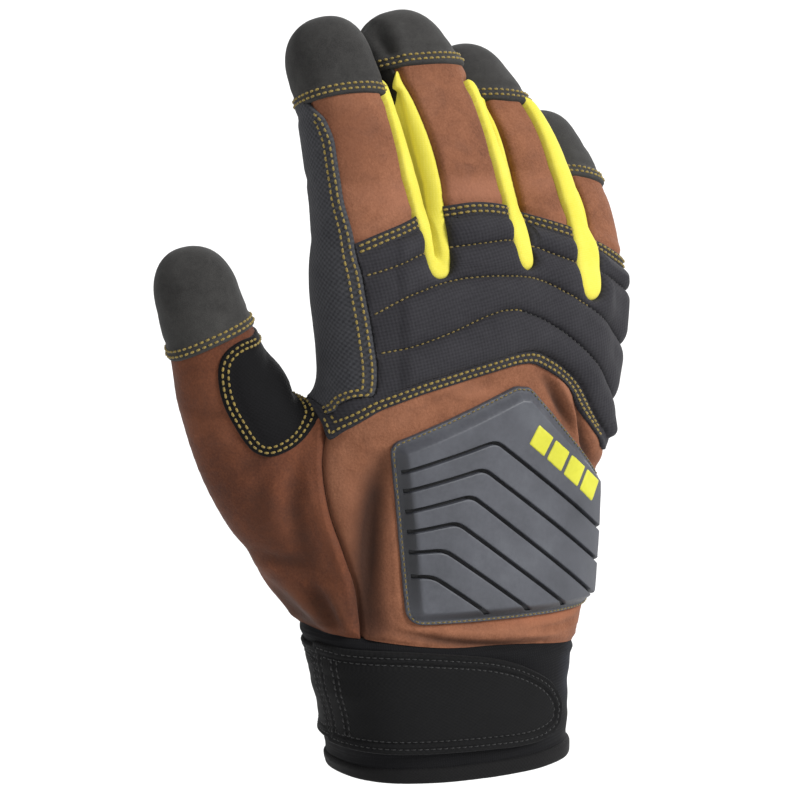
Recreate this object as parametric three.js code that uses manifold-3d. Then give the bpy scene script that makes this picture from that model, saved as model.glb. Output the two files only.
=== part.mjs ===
// Right-hand work glove, worn form: leather back, synthetic palm, padded
// knuckles, a moulded rubber guard and a stretch cuff with a closing strap.
// Frame (mm): +Z from the cuff to the fingertips, back of the hand toward -Y,
// palm toward +Y, thumb side toward -X. The origin is the centre of the cuff opening.
import * as THREE from 'three';
import { mergeVertices } from 'three/addons/utils/BufferGeometryUtils.js';
import Module from 'manifold-3d';

const wasm = await Module();
wasm.setup();

// ---------------------------------------------------------------- sizes (mm)
const WALL = 2.0;            // leather, textile and synthetic panels
const CUFF_WALL = 2.6;       // stretch cuff
const GAP = 0.3;             // clearance between neighbouring pieces
const LAY = 0.5;             // clearance under a piece that lies on another
const BIND_H = 5.0;          // folded band at the cuff opening
const BIND_OUT = 0.7;        // how far the band stands out from the cuff
const STRAP_T = 2.2;         // closing strap
const PAD_CREST = 3.6;       // padded knuckle rolls above the back
const PAD_GROOVE = 1.7;      // height left under each quilting seam
const PAD_SEAM_W = 2.4;      // width of a quilting groove
const GUARD_FLANGE = 1.5;    // top of the thin sewn rim
const GUARD_TOP = 4.4;       // top of the raised centre
const GUARD_RIM_W = 1.8;     // width of the sewn rim
const GUARD_SLOT_W = 1.5;    // width of a chevron slot
const GUARD_SLOT_FLOOR = 2.7;
const MARK_FLOOR = 3.5;      // recess under the coloured bar
const SIDE_PANEL_T = 1.5;    // textile strip along the forefinger
const GUSSET_T = 1.6;        // strips in the gaps between the fingers
const FINGER_SIDES = 10;
const HAND_SIDES = 22;
const TIP_RINGS = 2;

// ------------------------------------------------- limb sections, one a row
// columns: x, y, z of the centre | a half width | bd half depth to the back | bp half depth to the palm
const LIMBS = {
  hand: { n: 2.35, tip: 7, sides: HAND_SIDES, ref0: [0, -1, 0], ref1: [0, -1, 0], rows: [
    [1.2, 0, -30, 37.8, 26.2, 26.2],
    [1.2, 0, 0, 38.2, 26.4, 26.4],
    [0.6, 0, 11, 39.6, 26.8, 27],
    [0.1, 0, 22, 40, 26, 26.5],
    [-0.6, 0, 40, 44.2, 24.5, 26],
    [1.5, 0.5, 60, 46.5, 23.5, 25.5],
    [3, 0.5, 80, 47.8, 22.5, 24.5],
    [3.8, 0, 100, 47, 21, 23],
    [5.4, -1, 120, 45.8, 20, 20.5],
    [7.1, -1, 140, 45.6, 18, 17.5],
    [8, 1, 152, 45.6, 14.5, 14.5],
  ] },
  index: { n: 2.3, tip: 14.2, sides: FINGER_SIDES, ref0: [-0.15, -1, 0], ref1: [-0.15, -1, 0.15], rows: [
    [-22.5, 2, 120, 14.5, 15, 14],
    [-25, 2, 150, 17, 15, 14.5],
    [-25.5, 3.5, 168, 15.7, 14, 14],
    [-27.8, 7, 188, 13.9, 13.2, 13.2],
    [-29.3, 11, 202, 12.6, 12.4, 12.4],
    [-30.9, 15.5, 213.5, 12, 11.4, 11.4],
  ] },
  middle: { n: 2.3, tip: 15, sides: FINGER_SIDES, ref0: [0.05, -1, 0], ref1: [0, -1, 0.25], rows: [
    [8.5, -3, 128, 15, 15, 15],
    [8, -2, 150, 15.5, 14.2, 14],
    [6, 1, 170, 15, 13.5, 13.5],
    [2.5, 7, 190, 14, 13, 13],
    [-0.5, 14, 205, 14.2, 12.4, 12.4],
    [-3.6, 20, 214, 13.4, 11.8, 11.8],
  ] },
  ring: { n: 2.3, tip: 13.8, sides: FINGER_SIDES, ref0: [0.25, -1, 0], ref1: [0.15, -1, 0.35], rows: [
    [35, 1, 124, 13.5, 14.5, 14],
    [35.3, 2, 146, 13.8, 14, 13.5],
    [34, 6, 166, 13.5, 13, 13],
    [30.8, 13, 184, 13, 12.5, 12.5],
    [26.8, 20.5, 196, 12.6, 11.8, 11.8],
    [24.2, 27, 203.6, 12.2, 11.2, 11.2],
  ] },
  little: { n: 2.3, tip: 11.5, sides: FINGER_SIDES, ref0: [0.5, -1, 0], ref1: [0.35, -1, 0.35], rows: [
    [41.5, 3, 98, 8.5, 12.5, 12.5],
    [46, 5, 115, 10.6, 13.5, 13],
    [51.4, 8, 134, 11.6, 13, 12.5],
    [55, 12, 152, 12.7, 12.5, 12],
    [55.4, 18, 166, 12.3, 12, 11.5],
    [54, 24.5, 175.6, 11.8, 11.2, 10.8],
    [52.4, 30, 183, 11.5, 10.6, 10.2],
  ] },
  thumb: { n: 2.2, tip: 15.5, sides: FINGER_SIDES, ref0: [-0.55, -0.8, 0], ref1: [-0.45, -0.9, 0.1], rows: [
    [-18, 6, 44, 17, 17, 17],
    [-27.5, 9, 60, 20.5, 19, 18],
    [-43.1, 13, 80, 20.9, 18, 17],
    [-56.2, 17, 99, 18.4, 16, 15.5],
    [-64.5, 20, 117, 15, 14.2, 14],
    [-68.6, 22, 133, 13, 12.6, 12.6],
    [-72.2, 23.5, 145.5, 11.7, 11.4, 11.4],
  ] },
  web: { n: 2.0, tip: 10, sides: 8, ref0: [0, -1, 0], ref1: [0, -1, 0], rows: [
    [-22, 6, 66, 14, 15, 15],
    [-31, 8, 84, 16, 13, 13],
    [-39, 9, 103, 12, 9.6, 9.6],
  ] },
};

// height where the finger sleeves start, and where each finger's tip cap starts
const FINGER_BASE = 159.4;
const THUMB_CLEAR = -49.6;    // x that parts the thumb from the forefinger
// cap: a point of the cap's seam, up: the way the seam's plane faces
const FINGERS = {
  index: { cap: [-33.7, 0.3, 206.8], up: [0, 0.32, 0.947] },
  middle: { cap: [-1, 5, 214.0], up: [0.02, 0.2, 0.98] },
  ring: { cap: [26.6, 9.7, 201.3], up: [0.12, 0.2, 0.972] },
  little: { cap: [57, 10.3, 176.0], up: [0.18, 0.3, 0.937] },
};
const THUMB_CAP = [-71, 16, 133.2];
const BACK_FROM = 0.42;       // a finger's back panel starts at this part of its back depth
const THUMB_BACK_FROM = 0.0;

// ------------------------------------------------------------ outlines (mm)
// seen from the back of the hand; columns: x, z
const KNUCKLE_PAD = [
  [-37.3, 113.0], [-37.2, 138.0], [-38.2, 162.0],
  [-29.7, 166.0], [-12.5, 170.2], [6.0, 171.4],
  [22.0, 168.0], [37.7, 162.6], [58.0, 153.0], [70.0, 146.0],
  [70.0, 96.0], [47.0, 94.0], [37.3, 108.3], [27.5, 120.0],
  [14.5, 125.4], [-1.6, 122.6], [-22.4, 117.6], [-34, 112.5], [-42.9, 105.4], [-43.2, 110.4],
];
const PAD_SEAMS = [
  [[-37, 153.5], [-8, 161.2], [13.1, 161.8], [36.1, 153.8], [72, 139]],
  [[-37, 141.0], [-14.4, 149.7], [4, 152.0], [22, 149.2], [41.7, 139.0], [72, 121]],
  [[-34, 130.5], [-12, 136.2], [3.4, 141.2], [16.5, 140.0], [37.7, 127.2], [58, 108]],
];
const GUARD = [[-29.1, 104.2], [11.6, 118.9], [16.8, 118.1], [47.2, 86.8], [45.2, 46.6], [-26.0, 49.4]];
const GUARD_ROUND = [4, 4, 4, 5, 6, 6];
// chevron slots: left end | apex | right end, columns: x, z
const CHEVRONS = [
  [[-31, 94.8], [2.8, 103.4], [56, 60.1]],
  [[-31, 89.2], [-1.5, 95.2], [56, 49.8]],
  [[-31, 83.1], [-5.8, 87.4], [50, 42.7]],
  [[-31, 77.3], [-10.7, 79.8], [38, 41.6]],
  [[-31, 71.9], [-14.9, 71.9], [24, 42.4]],
  [[-31, 65.0], [-18.7, 64.2], [10, 42.5]],
];
// slanted bars of the coloured mark, each row: x, z of the lower left corner
const MARK_BARS = [[14.1, 101.5], [20.35, 96.0], [26.6, 90.5], [32.85, 85.0]];
const MARK_ALONG = [5.3, -4.65];   // along the mark
const MARK_ACROSS = [3.5, 5.7];   // across the mark
// strips between the fingers, columns: x left, x right, z
const GUSSETS = [
  [[-20.4, -10.6, 205], [-17.4, -6.1, 177], [-15.4, -6.4, 158], [-12.8, -9.2, 152.4]],
  [[10.4, 19.4, 205], [13.6, 23.3, 176], [14.7, 22.0, 157], [16.6, 20.6, 153]],
  [[35.4, 47, 192], [37.6, 50.8, 174], [38.6, 49.4, 150], [40.4, 46.4, 142.4]],
];
const GUSSET_BACK = [2, 2, 4];    // how far toward the palm each strip goes, y
// textile strip along the forefinger, columns: y at its sewn edge, z
const SIDE_EDGE = [[5.6, 202.6], [1.2, 198], [-3.3, 185], [-7.4, 168], [-12.3, 149.8], [-14.4, 133], [-14.6, 122], [-13.2, 115.5]];
const SIDE_PALM = [[9, 116], [9.5, 135], [9, 160], [13, 182], [20, 201]];
// border between the hand and the thumb, columns: x, z
const THUMB_SEAM = [[-38.8, 44], [-39.8, 60], [-43.4, 75.5], [-46, 91], [-44.5, 105.5], [-43.6, 116]];
// the patch on the web of the thumb, columns: x, z
const WEB_PATCH = [[-57, 133], [-64, 132.6], [-70.5, 128], [-72, 122], [-71, 113], [-66.5, 105.5], [-60.5, 101.2], [-52, 103.6], [-46.5, 106.2], [-43.9, 110.5], [-43.4, 119], [-46, 134]];
const WEB_DEPTH = 21;              // how far toward the palm the patch goes, y
// closing strap, columns: x, z
const STRAP = [[-60, 42.6], [-42.4, 42.2], [-26.3, 41.2], [-3.8, 38.0], [9.0, 34.4], [18.2, 29.8], [23.8, 25.4], [26.8, 20.0], [27.0, 15.4], [24.4, 11.4], [15.0, 9.0], [-2, 9.3], [-16.4, 9.8], [-60, 10.4]];
const STRAP_END_PALM = -18;        // x where the strap is sewn down on the palm side
const CUFF_EDGE_MID = 40.4;        // cuff height at x = 0
const CUFF_EDGE_TILT = -0.115;     // and its slope across x

// ---------------------------------------------------------------- materials
const LOOKS = {
  brown: { color: 0x9f6750, roughness: 0.82, metalness: 0 },
  black: { color: 0x3a3837, roughness: 0.85, metalness: 0 },
  suede: { color: 0x444240, roughness: 0.92, metalness: 0 },
  textile: { color: 0x363638, roughness: 0.9, metalness: 0 },
  lime: { color: 0xe1cd5f, roughness: 0.8, metalness: 0 },
  rubber: { color: 0x686e72, roughness: 0.55, metalness: 0 },
  cuff: { color: 0x262427, roughness: 0.9, metalness: 0 },
};
const material = (look) => new THREE.MeshStandardMaterial(LOOKS[look]);

// --------------------------------------------------------- solids and meshes
function solid(geometry) {
  const g = geometry.clone();
  g.deleteAttribute('normal');
  g.deleteAttribute('uv');
  const m = mergeVertices(g, 1e-4);
  return new wasm.Manifold(new wasm.Mesh({
    numProp: 3,
    vertProperties: new Float32Array(m.attributes.position.array),
    triVerts: new Uint32Array(m.index.array),
  }));
}

// keep only the largest connected piece of a result, so scraps are dropped
function geometryOf(manifold) {
  const mesh = manifold.getMesh();
  const pos = mesh.vertProperties, tri = mesh.triVerts, np = mesh.numProp;
  const key = new Map(), id = new Int32Array(pos.length / np);
  const xyz = [];
  for (let i = 0; i < id.length; i++) {
    const k = [0, 1, 2].map((c) => Math.round(pos[i * np + c] * 1e4)).join(',');
    if (!key.has(k)) { key.set(k, xyz.length / 3); xyz.push(pos[i * np], pos[i * np + 1], pos[i * np + 2]); }
    id[i] = key.get(k);
  }
  const root = [...Array(xyz.length / 3).keys()];
  const find = (a) => { while (root[a] !== a) { root[a] = root[root[a]]; a = root[a]; } return a; };
  for (let t = 0; t < tri.length; t += 3) {
    const [a, b, c] = [id[tri[t]], id[tri[t + 1]], id[tri[t + 2]]];
    root[find(a)] = find(b);
    root[find(b)] = find(c);
  }
  const volume = new Map();
  const P = (i) => new THREE.Vector3(xyz[3 * i], xyz[3 * i + 1], xyz[3 * i + 2]);
  for (let t = 0; t < tri.length; t += 3) {
    const [a, b, c] = [id[tri[t]], id[tri[t + 1]], id[tri[t + 2]]];
    const v = P(a).dot(P(b).cross(P(c))) / 6;
    const r = find(a);
    volume.set(r, (volume.get(r) || 0) + v);
  }
  const best = [...volume.entries()].sort((p, q) => q[1] - p[1])[0][0];
  const index = [];
  for (let t = 0; t < tri.length; t += 3) {
    const f = [id[tri[t]], id[tri[t + 1]], id[tri[t + 2]]];
    if (f[0] !== f[1] && f[1] !== f[2] && f[2] !== f[0] && find(f[0]) === best) index.push(...f);
  }
  const g = new THREE.BufferGeometry();
  g.setAttribute('position', new THREE.Float32BufferAttribute(xyz, 3));
  g.setIndex(index);
  const out = g.toNonIndexed();
  out.computeVertexNormals();
  return out;
}

// ------------------------------------------------------------ limb sections
function stations(limb, per) {
  const R = limb.rows, n = R.length;
  const at = (i) => (i < 0 ? R[0].map((v, c) => 2 * v - R[1][c]) : i >= n ? R[n - 1].map((v, c) => 2 * v - R[n - 2][c]) : R[i]);
  const out = [];
  for (let i = 0; i < n - 1; i++) {
    for (let k = 0; k < per; k++) {
      const t = k / per, [a, b, c, d] = [at(i - 1), at(i), at(i + 1), at(i + 2)];
      out.push(b.map((_, j) => 0.5 * (2 * b[j] + (c[j] - a[j]) * t + (2 * a[j] - 5 * b[j] + 4 * c[j] - d[j]) * t * t + (3 * b[j] - a[j] - 3 * c[j] + d[j]) * t ** 3)));
    }
  }
  out.push([...R[n - 1]]);
  return out;
}

function frames(limb, per = 1) {
  const S = stations(limb, per);
  return S.map((row, i) => {
    const p = S[Math.max(0, i - 1)], q = S[Math.min(S.length - 1, i + 1)];
    const axis = new THREE.Vector3(q[0] - p[0], q[1] - p[1], q[2] - p[2]).normalize();
    const ref = new THREE.Vector3(...limb.ref0).lerp(new THREE.Vector3(...limb.ref1), i / (S.length - 1));
    const back = ref.addScaledVector(axis, -ref.dot(axis)).normalize();
    const side = axis.clone().cross(back);
    return { centre: new THREE.Vector3(row[0], row[1], row[2]), axis, back, side, a: row[3], bd: row[4], bp: row[5] };
  });
}

const spow = (v, e) => Math.sign(v) * Math.abs(v) ** e;

// close a stack of rings into one solid
function skin(rings) {
  const n = rings[0].length, pos = [], index = [];
  for (const r of rings) for (const p of r) pos.push(p.x, p.y, p.z);
  for (let k = 0; k + 1 < rings.length; k++) {
    for (let i = 0; i < n; i++) {
      const j = (i + 1) % n, a = k * n + i, b = k * n + j;
      index.push(a, a + n, b, b, a + n, b + n);
    }
  }
  for (const [k, flip] of [[0, true], [rings.length - 1, false]]) {
    const c = pos.length / 3, mid = new THREE.Vector3();
    rings[k].forEach((p) => mid.add(p));
    mid.divideScalar(n);
    pos.push(mid.x, mid.y, mid.z);
    for (let i = 0; i < n; i++) {
      const j = (i + 1) % n;
      index.push(c, k * n + (flip ? i : j), k * n + (flip ? j : i));
    }
  }
  const g = new THREE.BufferGeometry();
  g.setAttribute('position', new THREE.Float32BufferAttribute(pos, 3));
  g.setIndex(index);
  return solid(g);
}

function loft(limb, grow) {
  const F = frames(limb), e = 2 / limb.n, N = limb.sides, rings = [];
  const ring = (f, scale, shift) => {
    const out = [];
    for (let i = 0; i < N; i++) {
      const t = (2 * Math.PI * i) / N, c = Math.cos(t), s = Math.sin(t);
      const a = (f.a + grow) * scale, b = ((s > 0 ? f.bd : f.bp) + grow) * scale;
      out.push(f.centre.clone().addScaledVector(f.side, a * spow(c, e)).addScaledVector(f.back, b * spow(s, e)).addScaledVector(f.axis, shift));
    }
    return out;
  };
  for (const f of F) rings.push(ring(f, 1, 0));
  const end = F[F.length - 1];
  for (let k = 1; k <= TIP_RINGS; k++) {
    const t = (k / (TIP_RINGS + 0.35)) * (Math.PI / 2);
    rings.push(ring(end, spow(Math.cos(t), e), (limb.tip + grow) * spow(Math.sin(t), e)));
  }
  return skin(rings);
}

// everything on the back side of a limb, from part `from` of its back depth
function backHalf(limb, from, reach = 30) {
  const F = frames(limb), rings = [];
  const row = (f, shift) => {
    const c = f.centre.clone().addScaledVector(f.axis, shift), d0 = from * f.bd;
    return [[reach, d0], [reach, 60], [-reach, 60], [-reach, d0]].map(([s, d]) => c.clone().addScaledVector(f.side, s).addScaledVector(f.back, d));
  };
  rings.push(row(F[0], -20));
  for (const f of F) rings.push(row(f, 0));
  rings.push(row(F[F.length - 1], 30));
  return skin(rings);
}

// ---------------------------------------------------------- cutting solids
function prism(outline, basis, from, to) {
  const shape = new THREE.Shape(outline.map(([u, v]) => new THREE.Vector2(u, v)));
  const g = new THREE.ExtrudeGeometry(shape, { depth: to - from, bevelEnabled: false });
  g.translate(0, 0, from);
  g.applyMatrix4(basis);
  return solid(g);
}
const X = new THREE.Vector3(1, 0, 0), Y = new THREE.Vector3(0, 1, 0), Z = new THREE.Vector3(0, 0, 1);
const FROM_BACK = new THREE.Matrix4().makeBasis(X, Z, Y.clone().negate());   // outline in x, z; depth runs to -Y
const FROM_SIDE = new THREE.Matrix4().makeBasis(Y, Z, X);                    // outline in y, z; depth runs to +X
const fromBack = (outline, y0, y1) => prism(outline, FROM_BACK, -y1, -y0);
const fromSide = (outline, x0, x1) => prism(outline, FROM_SIDE, x0, x1);

function halfSpace(point, normal, size = 160) {
  const g = new THREE.BoxGeometry(size, size, size);
  g.translate(0, 0, size / 2);
  const q = new THREE.Quaternion().setFromUnitVectors(Z, new THREE.Vector3(...normal).normalize());
  g.applyQuaternion(q);
  g.translate(...point);
  return solid(g);
}
function box(x0, x1, y0, y1, z0, z1) {
  const g = new THREE.BoxGeometry(x1 - x0, y1 - y0, z1 - z0);
  g.translate((x0 + x1) / 2, (y0 + y1) / 2, (z0 + z1) / 2);
  return solid(g);
}

// round the corners of an outline
function rounded(points, radii, steps = 3) {
  const out = [];
  points.forEach((p, i) => {
    const a = new THREE.Vector2(...points[(i + points.length - 1) % points.length]);
    const b = new THREE.Vector2(...p), c = new THREE.Vector2(...points[(i + 1) % points.length]);
    const r = Array.isArray(radii) ? radii[i] : radii;
    const u = a.sub(b).normalize(), v = c.sub(b).normalize();
    const t = r / Math.tan(Math.acos(THREE.MathUtils.clamp(u.dot(v), -1, 1)) / 2);
    const s = b.clone().addScaledVector(u, t), e = b.clone().addScaledVector(v, t);
    const curve = new THREE.QuadraticBezierCurve(s, b, e);
    for (let k = 0; k <= steps; k++) { const q = curve.getPoint(k / steps); out.push([q.x, q.y]); }
  });
  return out;
}

// move an outline in or out; it turns either way round
function offset(points, d) {
  let area = 0;
  points.forEach((p, i) => { const q = points[(i + 1) % points.length]; area += p[0] * q[1] - q[0] * p[1]; });
  const turn = Math.sign(area);
  return points.map((p, i) => {
    const a = points[(i + points.length - 1) % points.length], c = points[(i + 1) % points.length];
    const e1 = new THREE.Vector2(p[0] - a[0], p[1] - a[1]).normalize(), e2 = new THREE.Vector2(c[0] - p[0], c[1] - p[1]).normalize();
    const n1 = new THREE.Vector2(e1.y, -e1.x).multiplyScalar(turn), n2 = new THREE.Vector2(e2.y, -e2.x).multiplyScalar(turn);
    const m = n1.clone().add(n2).normalize();
    const k = d / Math.max(0.4, m.dot(n1));
    return [p[0] + m.x * k, p[1] + m.y * k];
  });
}

// a band of width w along a polyline
function band(points, w) {
  const left = [], right = [];
  points.forEach((p, i) => {
    const a = points[Math.max(0, i - 1)], c = points[Math.min(points.length - 1, i + 1)];
    const e1 = new THREE.Vector2(p[0] - a[0], p[1] - a[1]), e2 = new THREE.Vector2(c[0] - p[0], c[1] - p[1]);
    if (!e1.length()) e1.copy(e2);
    if (!e2.length()) e2.copy(e1);
    e1.normalize(); e2.normalize();
    const m = new THREE.Vector2(-e1.y - e2.y, e1.x + e2.x).normalize();
    const k = w / 2 / Math.max(0.5, m.dot(new THREE.Vector2(-e1.y, e1.x)));
    left.push([p[0] + m.x * k, p[1] + m.y * k]);
    right.unshift([p[0] - m.x * k, p[1] - m.y * k]);
  });
  return [...left, ...right];
}

// -------------------------------------------------------------- whole skins
const FINGER_NAMES = ['index', 'middle', 'ring', 'little'];
const cache = new Map();
function limbAt(name, grow) {
  const k = name + grow;
  if (!cache.has(k)) cache.set(k, loft(LIMBS[name], grow));
  return cache.get(k);
}
function joined(names, grow) {
  return names.map((n) => limbAt(n, grow)).reduce((a, b) => a.add(b));
}
const HAND_PARTS = ['hand', 'thumb', 'web'];
const ALL = [...HAND_PARTS, ...FINGER_NAMES];

const group = new THREE.Group();
group.name = 'work_glove';
function put(name, manifold, look) {
  const mesh = new THREE.Mesh(geometryOf(manifold), material(look));
  mesh.name = name;
  group.add(mesh);
}

const above = (z) => box(-140, 140, -90, 90, z, 320);
const below = (z) => box(-140, 140, -90, 90, -60, z);
const cuffEdge = (shift) => halfSpace([0, 0, CUFF_EDGE_MID + shift], [-CUFF_EDGE_TILT, 0, 1], 300);

// -------------------------------------------------------------------- cuff
const cuffOuter = limbAt('hand', 0), cuffInner = limbAt('hand', -CUFF_WALL);
put('cuff', cuffOuter.subtract(cuffInner).intersect(above(BIND_H + GAP)).subtract(cuffEdge(-GAP / 2)), 'cuff');
put('cuff_binding', limbAt('hand', BIND_OUT).subtract(limbAt('hand', -CUFF_WALL)).intersect(box(-140, 140, -90, 90, 0, BIND_H)), 'black');
const strapBack = fromBack(STRAP, -60, 0).add(fromBack([[-60, 42], [STRAP_END_PALM, 40.5], [STRAP_END_PALM, 10.6], [-60, 11.6]], -1, 60));
put('cuff_strap', limbAt('hand', LAY + STRAP_T).subtract(limbAt('hand', LAY)).intersect(strapBack), 'cuff');

// ------------------------------------------- the hand, thumb and web shells
const handShell = joined(HAND_PARTS, 0).add(joined(FINGER_NAMES, 0)).subtract(joined(ALL, -WALL)).intersect(cuffEdge(GAP / 2));
const bases = box(THUMB_CLEAR, 140, -90, 90, FINGER_BASE, 320);
const thumbSide = fromBack([...THUMB_SEAM, [-140, 116], [-140, 44]], -90, 90).add(box(-140, THUMB_CLEAR, -90, 90, 115, 320));
const thumbSideWide = fromBack([...THUMB_SEAM.map(([x, z]) => [x + GAP, z]), [-43.3, 116.2], [-140, 116.2], [-140, 40]], -90, 90).add(box(-140, THUMB_CLEAR + GAP, -90, 90, 115, 320));
const handOnly = handShell.subtract(bases).subtract(thumbSideWide);
const backSide = backHalf(LIMBS.hand, 0.12, 90);
const backSideWide = backHalf({ ...LIMBS.hand, rows: LIMBS.hand.rows.map((r) => [r[0], r[1] + GAP, ...r.slice(2)]) }, 0.12, 90);
put('back_panel', handOnly.intersect(backSide), 'brown');
put('palm_panel', handOnly.subtract(backSideWide), 'black');

// ------------------------------------------------------------------- thumb
const thumbShell = handShell.intersect(thumbSide).intersect(box(-140, 0, -90, 90, 44, 320));
const thumbF = frames(LIMBS.thumb);
const tAxis = thumbF[5].axis.toArray();
const thumbCapCut = halfSpace(THUMB_CAP, tAxis), thumbCapCutLow = halfSpace(THUMB_CAP.map((v, i) => v - GAP * tAxis[i]), tAxis);
const thumbTop = box(-140, THUMB_CLEAR, -90, 90, 110, 320);
put('thumb_cap', thumbShell.intersect(thumbCapCut).intersect(thumbTop), 'suede');
const thumbBody = thumbShell.subtract(thumbCapCutLow.intersect(thumbTop));
const web = fromBack(WEB_PATCH, -60, WEB_DEPTH), webWide = fromBack(offset(WEB_PATCH, GAP), -60, WEB_DEPTH + GAP);
put('web_patch', thumbBody.intersect(web).subtract(fromBack([[-90, 90], [-74, 90], [-74, 140], [-90, 140]], -60, 60)), 'textile');
const thumbBack = backHalf(LIMBS.thumb, THUMB_BACK_FROM, 60);
const thumbBackWide = backHalf(LIMBS.thumb, THUMB_BACK_FROM - GAP / 15, 60);
const thumbRest = thumbBody.subtract(webWide);
put('thumb_back', thumbRest.intersect(thumbBack), 'brown');
put('thumb_front', thumbRest.subtract(thumbBackWide), 'black');

// ----------------------------------------------------------------- fingers
FINGER_NAMES.forEach((n, i) => {
  const limb = LIMBS[n], { cap, up } = FINGERS[n];
  let sleeve = limbAt(n, 0).subtract(limbAt(n, -WALL)).intersect(above(FINGER_BASE + GAP));
  if (i > 0) sleeve = sleeve.subtract(limbAt(FINGER_NAMES[i - 1], LAY));
  const capCut = halfSpace(cap, up), capCutLow = halfSpace(cap.map((v, k) => v - GAP * up[k]), up);
  put(`${n}_cap`, sleeve.intersect(capCut), 'suede');
  const tube = sleeve.subtract(capCutLow);
  put(`${n}_back`, tube.intersect(backHalf(limb, BACK_FROM)), 'brown');
  put(`${n}_front`, tube.subtract(backHalf(limb, BACK_FROM - GAP / 13)), 'black');
});

// ------------------------------------------- strips between the fingers
const over = (t) => joined(ALL, t);
const skinGap = over(LAY), skinGusset = over(GUSSET_T);
const gussetOutline = (rows) => [...rows.map(([l, , z]) => [l, z]), ...[...rows].reverse().map(([, r, z]) => [r, z])];
let gussetRoom = null;
GUSSETS.forEach((rows, i) => {
  const y1 = GUSSET_BACK[i] + 12;
  put(`gusset_${i + 1}`, skinGusset.subtract(skinGap).intersect(fromBack(gussetOutline(rows), -60, y1)), 'lime');
  const room = fromBack(offset(gussetOutline(rows), GAP), -60, y1 + GAP);
  gussetRoom = gussetRoom ? gussetRoom.add(room) : room;
});

// ------------------------------------ textile strip along the forefinger
const sideOutline = [...SIDE_EDGE, ...SIDE_PALM];
const sideShape = fromSide(sideOutline, -48.2, -28);
const sideRoom = fromSide(offset(sideOutline, GAP), -48.6, -27.6);
put('index_side_panel', over(SIDE_PANEL_T).subtract(skinGap).intersect(sideShape), 'textile');

// ------------------------------------------------------------ knuckle pad
const padShape = fromBack(KNUCKLE_PAD, -60, 3);
let padTop = over(PAD_CREST).intersect(padShape);
const padSeams = PAD_SEAMS.map((s) => fromBack(band(s, PAD_SEAM_W), -60, 10)).reduce((a, b) => a.add(b));
padTop = padTop.subtract(padSeams.subtract(over(PAD_GROOVE)));
put('knuckle_pad', padTop.subtract(skinGap).subtract(gussetRoom).subtract(sideRoom), 'black');

// -------------------------------------------------------------- guard plate
const guardOutline = rounded(GUARD, GUARD_ROUND);
const guardCore = rounded(offset(GUARD, -GUARD_RIM_W), GUARD_ROUND.map((r) => r - 1));
const padRoom = fromBack(offset(KNUCKLE_PAD, GAP), -60, 3 + GAP);
const H = (t) => limbAt('hand', t);
put('guard_rim', H(GUARD_FLANGE).subtract(H(LAY)).intersect(fromBack(guardOutline, -60, 0)).subtract(padRoom), 'rubber');
const slots = CHEVRONS.map((c) => fromBack(band(c, GUARD_SLOT_W), -60, 0)).reduce((a, b) => a.add(b));
const bar = ([x, z], d = 0) => offset([[x, z], [x + MARK_ALONG[0], z + MARK_ALONG[1]], [x + MARK_ALONG[0] + MARK_ACROSS[0], z + MARK_ALONG[1] + MARK_ACROSS[1]], [x + MARK_ACROSS[0], z + MARK_ACROSS[1]]], d);
const markRoom = MARK_BARS.map((b) => fromBack(bar(b, GAP), -60, 0)).reduce((a, b) => a.add(b));
put('guard_plate', H(GUARD_TOP).subtract(H(GUARD_FLANGE + GAP)).intersect(fromBack(guardCore, -60, 0))
  .subtract(slots.subtract(H(GUARD_SLOT_FLOOR))).subtract(markRoom.subtract(H(MARK_FLOOR))).subtract(padRoom), 'rubber');
MARK_BARS.forEach((b, i) => {
  put(`guard_bar_${i + 1}`, H(GUARD_TOP).subtract(H(MARK_FLOOR + GAP)).intersect(fromBack(bar(b), -60, 0)), 'lime');
});

export default group;
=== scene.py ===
"""Looks of the work glove: leather, textile, quilted pad, moulded guard, seams and stitches.
Geometry is worked out in millimetres in the part's own frame and written in metres."""
import math
import bpy
import numpy as np
from mathutils import Matrix, Vector


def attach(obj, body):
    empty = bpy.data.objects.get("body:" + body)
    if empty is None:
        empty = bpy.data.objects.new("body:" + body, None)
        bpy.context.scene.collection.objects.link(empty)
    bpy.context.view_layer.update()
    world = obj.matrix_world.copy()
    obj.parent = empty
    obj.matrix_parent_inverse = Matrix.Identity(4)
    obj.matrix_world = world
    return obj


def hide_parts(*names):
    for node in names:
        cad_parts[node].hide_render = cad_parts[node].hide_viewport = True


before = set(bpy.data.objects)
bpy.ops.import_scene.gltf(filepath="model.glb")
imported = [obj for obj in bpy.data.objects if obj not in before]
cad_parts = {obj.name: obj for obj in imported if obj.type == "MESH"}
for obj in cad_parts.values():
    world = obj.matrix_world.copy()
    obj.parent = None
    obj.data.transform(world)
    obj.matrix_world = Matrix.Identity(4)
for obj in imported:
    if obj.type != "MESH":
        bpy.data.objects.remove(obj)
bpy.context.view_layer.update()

GRID = 1.15          # mm, size of the skin's cells
PITCH = 1.95                           # mm, stitch spacing

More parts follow.
